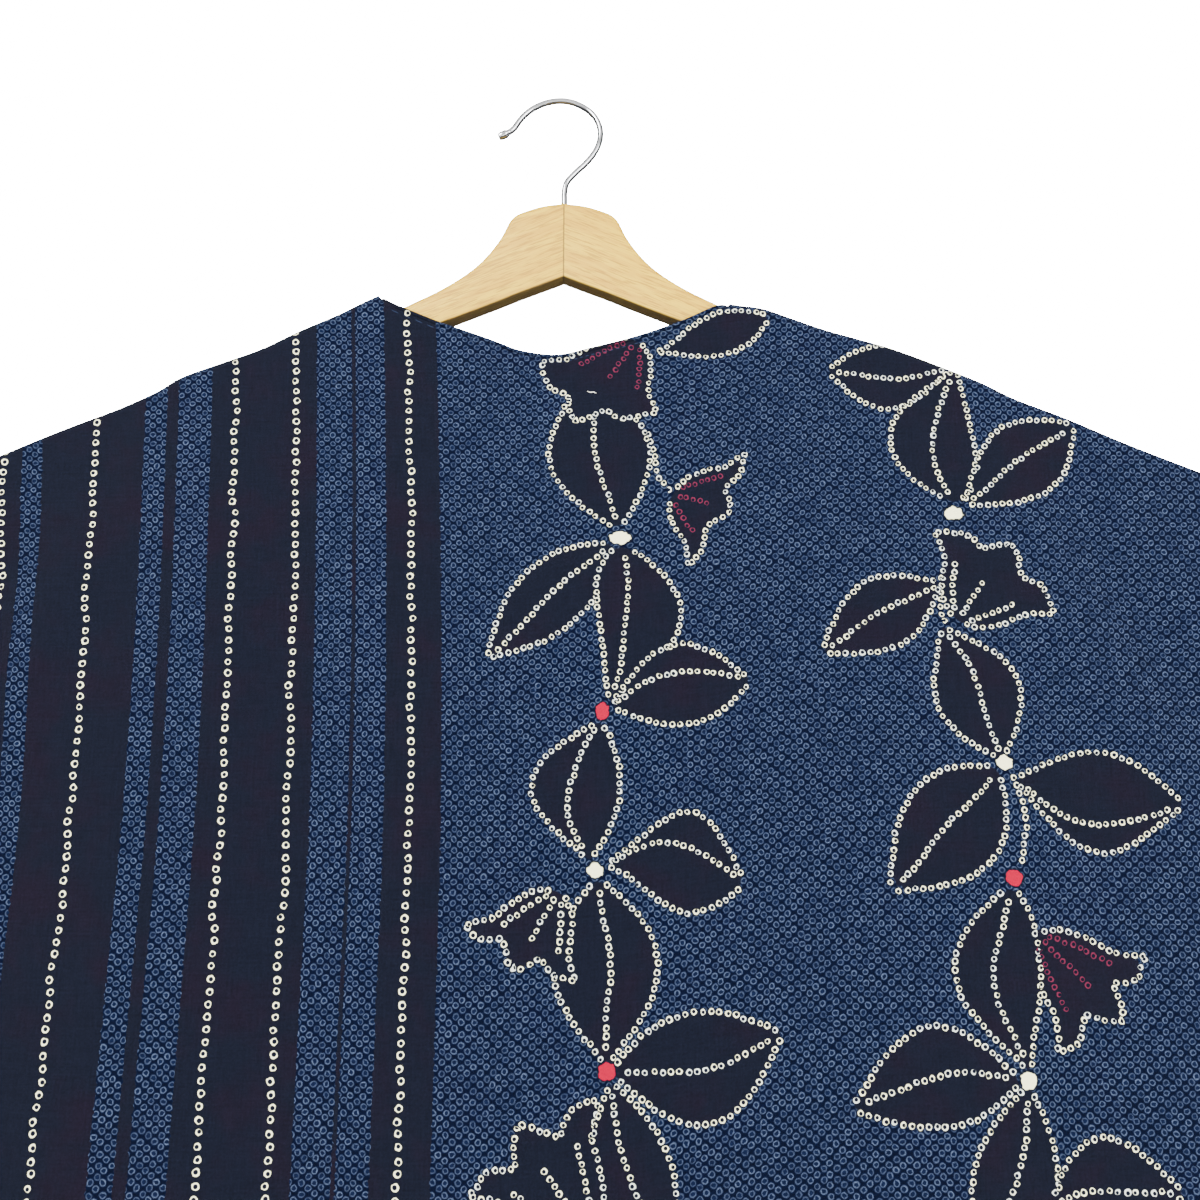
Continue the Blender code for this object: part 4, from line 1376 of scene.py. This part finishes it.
# %% Group: ground of small rings
GROUND_ACROSS = 5.9
GROUND_DOWN = 4.9
GROUND_DRIFT = 2.2  # the rows wander over a stretch this wide, in millimetres
DRIFT_SCALE = 0.07
GROUND_STRAY = 0.55  # and each ring by chance
SMALL_RING = 1.20  # radius of a small ring
SMALL_WALL = 0.44  # and half the width of its pale wall, soft edges included
SMALL_DENT = 0.9
SMALL_DENT_SCALE = 0.75
GAP_FROM = 1.45  # the darker gap between the rings starts this far from a ring's middle
GAP_TO = 2.05
SECOND_NAMES = (37.4, 11.8)  # keep the two grids' random numbers apart
ground_group, given, made = new_group(
    "ground of small rings",
    (("Vector", VECTOR),),
    (("Ring", FLOAT), ("Gap", FLOAT), ("Tone", FLOAT)),
)
flat_mm = scaled(ground_group, given["Vector"], TO_MM)
drift = noise(ground_group, flat_mm, DRIFT_SCALE, 1.0, color=True)
drift = scaled(ground_group, vector_calc(ground_group, "SUBTRACT", drift, HALF), GROUND_DRIFT)
flat_mm = vector_calc(ground_group, "ADD", flat_mm, drift)
steps = (1.0 / GROUND_ACROSS, 1.0 / GROUND_DOWN, 0.0)
sizes = (GROUND_ACROSS, GROUND_DOWN, 1.0)
cells = vector_calc(ground_group, "MULTIPLY", flat_mm, steps)
offsets = []
names = []
for half in (0.0, 0.5):
    moved = vector_calc(ground_group, "ADD", cells, (half, half, 0.0))
    rounded = vector_calc(ground_group, "FLOOR", vector_calc(ground_group, "ADD", moved, (0.5, 0.5, 0.0)))
    off_middle = vector_calc(ground_group, "SUBTRACT", moved, rounded)
    offsets.append(vector_calc(ground_group, "MULTIPLY", off_middle, sizes))
    apart = (half * SECOND_NAMES[0], half * SECOND_NAMES[1], 0.0)
    names.append(vector_calc(ground_group, "ADD", rounded, apart))
first_away, second_away = [length_of(ground_group, offset) for offset in offsets]
nearer = calc(ground_group, "LESS_THAN", second_away, first_away)
offset = blend(ground_group, nearer, *offsets)
chance = random_by(ground_group, "2D", "Vector", blend(ground_group, nearer, *names))
stray = scaled(ground_group, vector_calc(ground_group, "SUBTRACT", chance, HALF), GROUND_STRAY)
offset = vector_calc(ground_group, "ADD", offset, stray)
away = length_of(ground_group, vector_calc(ground_group, "MULTIPLY", offset, (1.0, 1.0, 0.0)))
dents = noise(ground_group, flat_mm, SMALL_DENT_SCALE, 1.0)
away = plus(ground_group, away, swing(ground_group, dents, SMALL_DENT))
wall = calc(ground_group, "ABSOLUTE", minus(ground_group, away, SMALL_RING))
strength = ramp(ground_group, dents, 0.30, 0.62, 0.45, 1.0)
ring = times(ground_group, ramp(ground_group, wall, SMALL_WALL, 0.04), strength)
gap = ramp(ground_group, away, GAP_FROM, GAP_TO)
give_out(ground_group, made, Ring=ring, Gap=gap, Tone=parts_of(ground_group, chance)[0])
print("ground:", len(ground_group.nodes), "nodes")

# %% [markdown]
# ## Weave
#
# The cotton is a plain weave with about 20 threads to the centimetre, some thicker than others. Two
# crossed sets of stripes stand for the threads, and stretched noise thickens a few of them.

# %% Group: plain weave
THREAD = 0.5  # millimetres from thread to thread
SLUB_FINE = 900.0  # steps of the noise in a metre, across a thread and along it
SLUB_LONG = 70.0
weave_group, given, made = new_group(
    "plain weave", (("Vector", VECTOR),), (("Height", FLOAT), ("Slub", FLOAT)),
)
threads = scaled(weave_group, given["Vector"], 2.0 * math.pi / (THREAD * MM))
axes = parts_of(weave_group, threads)
warp = calc(weave_group, "SINE", axes[0])
weft = calc(weave_group, "SINE", axes[1])
crossing = times(weave_group, warp, weft)
slubs = []
for stretch in ((SLUB_FINE, SLUB_LONG, 1.0), (SLUB_LONG, SLUB_FINE, 1.0)):
    stretched = vector_calc(weave_group, "MULTIPLY", given["Vector"], stretch)
    slubs.append(noise(weave_group, stretched, 1.0, 1.0))
slub = plus(weave_group, slubs[0], slubs[1])
height = calc(weave_group, "MULTIPLY_ADD", crossing, 0.5, slub)
give_out(weave_group, made, Height=height, Slub=slub)

# %% [markdown]
# ## The printed cotton
#
# The material lays one colour over another: a dark ground, blue bands and field, pale rings over them,
# and at last the knots of white and red where the stalks meet. Edges that are sewn lie in a fine
# groove, raised in the bump and painted darker as shade, and hems show a row of small stitches.

# %% Colours of the dye
NAVY = (0.0034, 0.0044, 0.0100, 1.0)
NAVY_WARM = (0.0052, 0.0038, 0.0092, 1.0)
FIELD = (0.0020, 0.0050, 0.0200, 1.0)
FIELD_GAP = (0.0002, 0.0015, 0.0092, 1.0)
FIELD_RING = (0.054, 0.074, 0.124, 1.0)
RING_WHITE = (0.96, 0.94, 0.60, 1.0)
RING_BLUISH = (0.58, 0.66, 0.72, 1.0)
RING_SPOT = (0.0028, 0.0036, 0.0100, 1.0)
DULL_RED = (0.105, 0.012, 0.032, 1.0)
KNOT_WHITE = (0.98, 0.96, 0.58, 1.0)
KNOT_RED = (0.30, 0.0, 0.022, 1.0)
THREAD_BLUE = (0.022, 0.034, 0.075, 1.0)
BANDS = (
    (-347.0, -336.0), (-318.0, -304.0), (-272.3, -261.8), (-211.0, -199.5), (-193.4, -176.1),
    (-120.6, -102.0), (-100.0, -84.6), (-56.7, 420.0),
)
RAGGED = 2.4  # the bands' edges swing over this width, in millimetres
RAGGED_SCALE = 420.0  # steps in a metre, here and in the next two
CLOUD_SCALE = 26.0
SPECK_SCALE = 900.0

# %% Which chain is nearest, and is this spot blue or dark
PAST_END = 100.0  # a chain that has ended counts as this much farther off


def nearest_stored_chain(tree):
    """Across, rings along and the count of rings to the chain's end, for the nearest chain."""
    best_key = None
    best = None
    for slot in range(SLOTS):
        vector = stored(tree, f"chain_{slot + 1}")["Vector"]
        across, rings, left = parts_of(tree, vector)
        past_end = calc(tree, "LESS_THAN", left, 0.0)
        key = calc(tree, "MULTIPLY_ADD", past_end, PAST_END, calc(tree, "ABSOLUTE", across))
        if best is None:
            best_key, best = key, vector
            continue
        closer = calc(tree, "LESS_THAN", key, best_key)
        best = blend(tree, closer, best, vector)
        best_key = calc(tree, "MINIMUM", key, best_key)
    return parts_of(tree, best)


def blue_bands(tree, across_mm):
    """1 in the blue bands and the field, 0 in the dark stripes."""
    total = None
    for start, end in BANDS:
        here = calc(tree, "COMPARE", across_mm, (start + end) / 2, (end - start) / 2)
        total = here if total is None else plus(tree, total, here)
    return total


# %% Material: printed cotton
cotton, tree, shader = new_material("printed_cotton")
flat_node = tree.nodes.new("ShaderNodeUVMap")
flat_node.uv_map = "flat_cloth"
flat_uv = flat_node.outputs[0]
flat_across = times(tree, parts_of(tree, flat_uv)[0], TO_MM)

ragged = swing(tree, noise(tree, flat_uv, RAGGED_SCALE, 1.0), RAGGED)
cloud = noise(tree, flat_uv, CLOUD_SCALE, 3.0, 0.6)
speck = noise(tree, flat_uv, SPECK_SCALE, 2.0, 0.7)

bands = blue_bands(tree, plus(tree, flat_across, ragged))
leaf_depth = plus(tree, stored(tree, "patch")["Fac"], times(tree, ragged, 0.4))
in_leaf = ramp(tree, leaf_depth, -0.4, 0.4)
blue = times(tree, bands, minus(tree, 1.0, in_leaf))

ground = use_group(tree, ground_group, Vector=flat_uv)
field = tint(tree, ground["Gap"], FIELD, FIELD_GAP)
strength = calc(tree, "MULTIPLY_ADD", ground["Tone"], 0.5, 0.45)
field = tint(tree, times(tree, ground["Ring"], strength), field, FIELD_RING)
navy = tint(tree, ramp(tree, cloud, 0.42, 0.72), NAVY, NAVY_WARM)
color = tint(tree, blue, navy, field)
weave = use_group(tree, weave_group, Vector=flat_uv)
shade = calc(tree, "MULTIPLY_ADD", speck, 1.1, 0.45)
shade = times(tree, shade, calc(tree, "MULTIPLY_ADD", weave["Slub"], 0.45, 0.55))
color = scaled(tree, color, shade)

across, rings, rings_left = nearest_stored_chain(tree)
past_leaves = calc(tree, "GREATER_THAN", rings, KIND_START["line"] - 1.0)
before_stamens = calc(tree, "LESS_THAN", rings, KIND_START["stamen"] - 1.0)
is_line = times(tree, past_leaves, before_stamens)
is_stamen = calc(tree, "GREATER_THAN", rings, KIND_START["stamen"] - 1.0)
pitch = calc(tree, "MULTIPLY_ADD", is_line, RING_PITCH["line"] - RING_PITCH["leaf"], RING_PITCH["leaf"])
size = calc(tree, "MULTIPLY_ADD", is_line, RING_RADIUS["line"] - RING_RADIUS["leaf"], RING_RADIUS["leaf"])
bound = use_group(tree, ring_group, Across=across, Rings=rings, Pitch=pitch, Radius=size)
present = calc(tree, "GREATER_THAN", rings_left, 0.0)
halo = times(tree, times(tree, bound["Halo"], present), 0.8)
color = tint(tree, halo, color, NAVY)
bleed = times(tree, ramp(tree, bound["Chance"], 0.35, 0.95), minus(tree, 1.0, is_line))
ring_color = tint(tree, times(tree, bleed, 0.7), RING_WHITE, RING_BLUISH)
ring_color = tint(tree, is_stamen, ring_color, DULL_RED)
color = tint(tree, times(tree, bound["Ring"], present), color, ring_color)
color = tint(tree, times(tree, bound["Spot"], present), color, RING_SPOT)

# %% The knots, the seams and the finish
SEAM_GROOVE = 1.6  # millimetres from a seam at which its groove ends
HEM_STITCH = 2.6  # distance of a hem's row of stitches from its edge
HEM_GROOVE = 0.8
STITCHES = 290.0  # in a metre
RELIEF = 0.22 * MM
knot = parts_of(tree, stored(tree, "knot")["Vector"])
red_knot = calc(tree, "GREATER_THAN", knot[2], 0.0)
knot_gap = length_of(tree, vector_of(tree, knot[0], knot[1]))
knot_gap = calc(tree, "MULTIPLY_ADD", ragged, 0.26, knot_gap)
color = tint(tree, ramp(tree, knot_gap, 1.35, 1.15, 0.0, 0.8), color, NAVY)
knot_color = tint(tree, red_knot, KNOT_WHITE, KNOT_RED)
color = tint(tree, ramp(tree, knot_gap, 1.06, 0.94), color, knot_color)

seam = stored(tree, "seam")["Fac"]
hem = stored(tree, "hem")["Fac"]
from_stitches = calc(tree, "ABSOLUTE", minus(tree, hem, HEM_STITCH))
hem_groove_and_shade = ramp(tree, from_stitches, HEM_GROOVE, 0.0, 0.0, 0.6)
# depth of the grooves by the seams and the hem stitches, used as relief and as painted shade
groove_and_shade = calc(tree, "MAXIMUM", ramp(tree, seam, SEAM_GROOVE, 0.0), hem_groove_and_shade)
diagonal = plus(tree, parts_of(tree, flat_uv)[0], parts_of(tree, flat_uv)[1])
dash = calc(tree, "LESS_THAN", calc(tree, "FRACT", times(tree, diagonal, STITCHES)), 0.5)
stitch = times(tree, dash, ramp(tree, from_stitches, 0.34, 0.16))
# painted shade in the grooves: the colour is drawn halfway to navy there
color = tint(tree, times(tree, groove_and_shade, 0.5), color, NAVY)
color = tint(tree, times(tree, stitch, 0.5), color, THREAD_BLUE)

color = scaled(tree, color, calc(tree, "MULTIPLY_ADD", speck, 0.2, 0.9))
feed(tree, shader.inputs["Base Color"], color)
height = minus(tree, times(tree, weave["Height"], 0.5), groove_and_shade)
bump(tree, shader, height, RELIEF, 0.6)
feed(tree, shader.inputs["Roughness"], calc(tree, "MULTIPLY_ADD", speck, 0.12, 0.82))
for label, value in (("Specular IOR Level", 0.04), ("Sheen Weight", 0.01), ("Sheen Roughness", 0.6)):
    shader.inputs[label].default_value = value
for piece in [back, rolled_edge] + [cloth for cloth, area in fronts + sleeves]:
    piece.data.materials.clear()
    piece.data.materials.append(cotton)
print("printed cotton:", len(tree.nodes), "nodes")

# %% [markdown]
# ## White thread
#
# The tack is soft two-ply cotton thread. A slanted ripple along it shows its twist as painted light and
# shade.

# %% Material: white thread
THREAD_SHADED = (0.62, 0.60, 0.50, 1.0)
THREAD_LIGHT = (0.90, 0.88, 0.78, 1.0)
TWIST = 9.0  # radians in a millimetre
FUZZ_SCALE = 2200.0
thread, tree, shader = new_material("white_thread")
where = object_place(tree)
spin = parts_of(tree, scaled(tree, where, TO_MM))
twist = calc(tree, "SINE", times(tree, plus(tree, spin[0], spin[2]), TWIST))
fuzz = noise(tree, where, FUZZ_SCALE, 2.0)
# painted light and shade: the twist ripple, with random fuzz, blends the shaded and the lit thread colour
tone = calc(tree, "MULTIPLY_ADD", twist, 0.1, fuzz)
feed(tree, shader.inputs["Base Color"], tint(tree, tone, THREAD_SHADED, THREAD_LIGHT))
feed(tree, shader.inputs["Roughness"], calc(tree, "MULTIPLY_ADD", fuzz, 0.2, 0.7))
bump(tree, shader, tone, 0.1 * MM)
tack.data.materials.append(thread)

# %% [markdown]
# ## Pale wood
#
# The arms are sawn from a pale hardwood with straight grain that follows each arm, so the two sides
# slant apart from the joint. Long soft bands give the growth rings, and short dark dashes the pores.
# Both arms use one group, turned by their own Mapping node. Their undersides get painted shade.

# %% Group: wood grain
GRAIN_STRETCH = (11.0, 130.0, 220.0)  # steps of the noise in a metre: few along the grain
PORE_STRETCH = (85.0, 800.0, 1350.0)
GRAIN_WARP = 1.6
grain_group, given, made = new_group(
    "wood grain", (("Vector", VECTOR),), (("Band", FLOAT), ("Pore", FLOAT), ("Height", FLOAT)),
)
stretched = vector_calc(grain_group, "MULTIPLY", given["Vector"], GRAIN_STRETCH)
warp = scaled(grain_group, noise(grain_group, given["Vector"], 14.0, 1.0, color=True), GRAIN_WARP)
band = noise(grain_group, vector_calc(grain_group, "ADD", stretched, warp), 1.6, 3.0, 0.6)
pore_space = vector_calc(grain_group, "MULTIPLY", given["Vector"], PORE_STRETCH)
pores = ramp(grain_group, noise(grain_group, pore_space, 1.0, 2.0), 0.50, 0.64)
height = minus(grain_group, times(grain_group, band, 0.3), pores)
give_out(grain_group, made, Band=band, Pore=pores, Height=height)

# %% Material: pale wood, once for each arm
WOOD_LIGHT = (0.68, 0.42, 0.0, 1.0)
WOOD_MIDDLE = (0.56, 0.31, 0.0, 1.0)
WOOD_PORE = (0.28, 0.125, 0.0, 1.0)
# dark brown for the painted shade under the arms and for the glue line at the joint
WOOD_SHADE_AND_GLUE = (0.030, 0.017, 0.004, 1.0)
GRAIN_SLANT = {"left": 0.40, "right": -0.40}
GRAIN_DEPTH = {"left": 0.13, "right": 0.41}  # the two arms are sawn from different places


def pale_wood(side_name):
    wood, tree, shader = new_material(f"pale_wood_{side_name}")
    where = object_place(tree)
    turned = tree.nodes.new("ShaderNodeMapping")
    turned.inputs["Rotation"].default_value = (0.0, GRAIN_SLANT[side_name], 0.0)
    turned.inputs["Location"].default_value = (0.0, GRAIN_DEPTH[side_name], 0.0)
    feed(tree, turned.inputs["Vector"], where)
    grain = use_group(tree, grain_group, Vector=turned.outputs[0])
    color = tint(tree, ramp(tree, grain["Band"], 0.35, 0.65), WOOD_LIGHT, WOOD_MIDDLE)
    color = tint(tree, times(tree, grain["Pore"], 0.60), color, WOOD_PORE)
    # painted shade: towards the underside each arm turns almost to the dark brown
    low = stored(tree, "above_underside")["Fac"]
    color = tint(tree, ramp(tree, low, 1.1, 0.2, 0.0, 0.93), color, WOOD_SHADE_AND_GLUE)
    # a thin dark glue line where the two boards meet
    joint = calc(tree, "ABSOLUTE", parts_of(tree, where)[0])
    color = tint(tree, ramp(tree, joint, 0.0006, 0.0001, 0.0, 0.7), color, WOOD_SHADE_AND_GLUE)
    feed(tree, shader.inputs["Base Color"], color)
    feed(tree, shader.inputs["Roughness"], ramp(tree, grain["Band"], 0.2, 0.8, 0.42, 0.56))
    bump(tree, shader, grain["Height"], 0.15 * MM, 0.5)
    return wood


arm_left.data.materials.append(pale_wood("left"))
arm_right.data.materials.append(pale_wood("right"))

# %% [markdown]
# ## Chromed wire
#
# Bright metal shows little colour of its own, only what is around it. Fine rubbed spots change its tone
# and roughness a little, so that it doesn't look like a perfect mirror.

# %% Material: chromed wire
CHROME_DULL = (0.60, 0.61, 0.63, 1.0)
CHROME_BRIGHT = (0.80, 0.80, 0.82, 1.0)
chrome, tree, shader = new_material("chromed_wire")
marks = noise(tree, object_place(tree), 260.0, 3.0, 0.7)
feed(tree, shader.inputs["Base Color"], tint(tree, marks, CHROME_DULL, CHROME_BRIGHT))
feed(tree, shader.inputs["Roughness"], ramp(tree, marks, 0.35, 0.75, 0.06, 0.16))
shader.inputs["Metallic"].default_value = 1.0
hook.data.materials.append(chrome)

# %% [markdown]
# ## Tie the pieces to the model
#
# Everything rides on the one body. Each call below says which imported nodes a piece stands for, and
# those nodes are hidden.

# %% Bodies
def hang_up(piece, nodes):
    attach(piece, "root")
    if nodes:
        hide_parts(*nodes)


hang_up(back, ["back_left", "back_right"])
hang_up(fronts[0][0], ["front_left"])
hang_up(fronts[1][0], ["front_right"])
hang_up(sleeves[0][0], ["sleeve_left"])
hang_up(sleeves[1][0], ["sleeve_right"])
hang_up(rolled_edge, ["neck_binding"])
hang_up(tack, [])
hang_up(arm_left, ["hanger_arm_left"])
hang_up(arm_right, ["hanger_arm_right"])
hang_up(hook, ["hanger_hook"])

# %% [markdown]
# ## Floor, wall and light
#
# The photograph has an empty white background and very even light. A pale floor and a white wall stand
# behind and below, large soft lamps shine from the front, and the wall glows a little so that it comes
# out white. The wall is kept from lighting the cloth.

# %% Floor and wall
def plain_board(name, start, end, color, glow):
    """A flat board of the stage, upright or level, between two opposite corners, in metres."""
    first = 0 if start[0] != end[0] else 1
    along_first = list(start)
    along_first[first] = end[first]
    opposite = list(end)
    opposite[first] = start[first]
    bm = bmesh.new()
    bm.faces.new([bm.verts.new(corner) for corner in (start, along_first, end, opposite)])
    board = piece_from(bm, name)
    surface, _, shader = new_material(name)
    shader.inputs["Base Color"].default_value = (*color, 1.0)
    shader.inputs["Roughness"].default_value = 0.8
    shader.inputs["Emission Color"].default_value = (1.0, 1.0, 1.0, 1.0)
    shader.inputs["Emission Strength"].default_value = glow
    board.data.materials.append(surface)
    return board


FLOOR_Z = -1.02
WALL_Y = 3.0
WALL_TOP = 4.0
WALL_GLOW = 40.0
WIDE = 6.0  # the floor and the wall reach this far from the middle
plain_board("floor", (-WIDE, -WIDE, FLOOR_Z), (WIDE, WIDE, FLOOR_Z), (0.82, 0.82, 0.80), 0.0)
wall_board = plain_board(
    "wall", (-WIDE, WALL_Y, FLOOR_Z), (WIDE, WALL_Y, WALL_TOP), (0.9, 0.9, 0.9), WALL_GLOW,
)
wall_board.visible_diffuse = False
wall_board.visible_glossy = False

# %% Dark screens that only shiny things see: opposite corners
SCREENS = {
    "screen_behind": ((-1.2, 1.5, -1.0), (1.2, 1.5, 1.8)),
    "screen_left": ((-0.9, 1.5, -1.0), (-0.9, -1.2, 1.8)),
    "screen_right": ((0.9, 1.5, -1.0), (0.9, -1.0, 1.8)),
    "screen_above": ((-1.2, 1.5, 1.6), (1.2, -0.9, 1.6)),
    "screen_below": ((-1.2, 1.5, -1.0), (1.2, -1.4, -1.0)),
}
for name, (start, end) in SCREENS.items():
    screen = plain_board(name, start, end, (0.03, 0.03, 0.03), 0.0)
    screen.visible_camera = False
    screen.visible_diffuse = False
    screen.visible_shadow = False


# %% Lamps
def soft_lamp(name, location, size, power):
    """A round area lamp that shines at the jacket. size is in metres, power in watts."""
    light = bpy.data.lights.new(name, "AREA")
    light.shape = "DISK"
    light.size = size
    light.energy = power
    lamp = add_object(name, light)
    lamp.location = location
    lamp.rotation_euler = (JACKET_MIDDLE - Vector(location)).to_track_quat("-Z", "Y").to_euler()


JACKET_MIDDLE = Vector((0.0, 0.0, -0.35))
soft_lamp("key lamp", (-1.3, -2.2, 1.0), 1.5, 170.0)
soft_lamp("fill lamp", (1.7, -2.0, 0.1), 1.6, 100.0)
soft_lamp("back lamp", (0.4, 1.2, 1.4), 1.2, 36.0)
world = bpy.data.worlds.new("studio")
world.use_nodes = True
background = world.node_tree.nodes["Background"]
background.inputs["Color"].default_value = (1.0, 1.0, 1.0, 1.0)
background.inputs["Strength"].default_value = 1.3
bpy.context.scene.world = world

# %% [markdown]
# ## Camera
#
# The photograph was taken from chest height, about 60 cm from the cloth, tipped up a little so that
# the hook is in the frame. The numbers were found by matching the hook, the hanger's arms and the
# shoulders to the picture.

# %% Camera
camera_data = bpy.data.cameras.new("camera")
camera_data.sensor_width = 36.0
camera_data.lens = 36.0
camera_data.clip_start = 0.01
camera = add_object("camera", camera_data)
camera.location = (0.0198, -0.6012, -0.4236)
camera.rotation_euler = (math.radians(102.7), 0.0, 0.0)
bpy.context.scene.camera = camera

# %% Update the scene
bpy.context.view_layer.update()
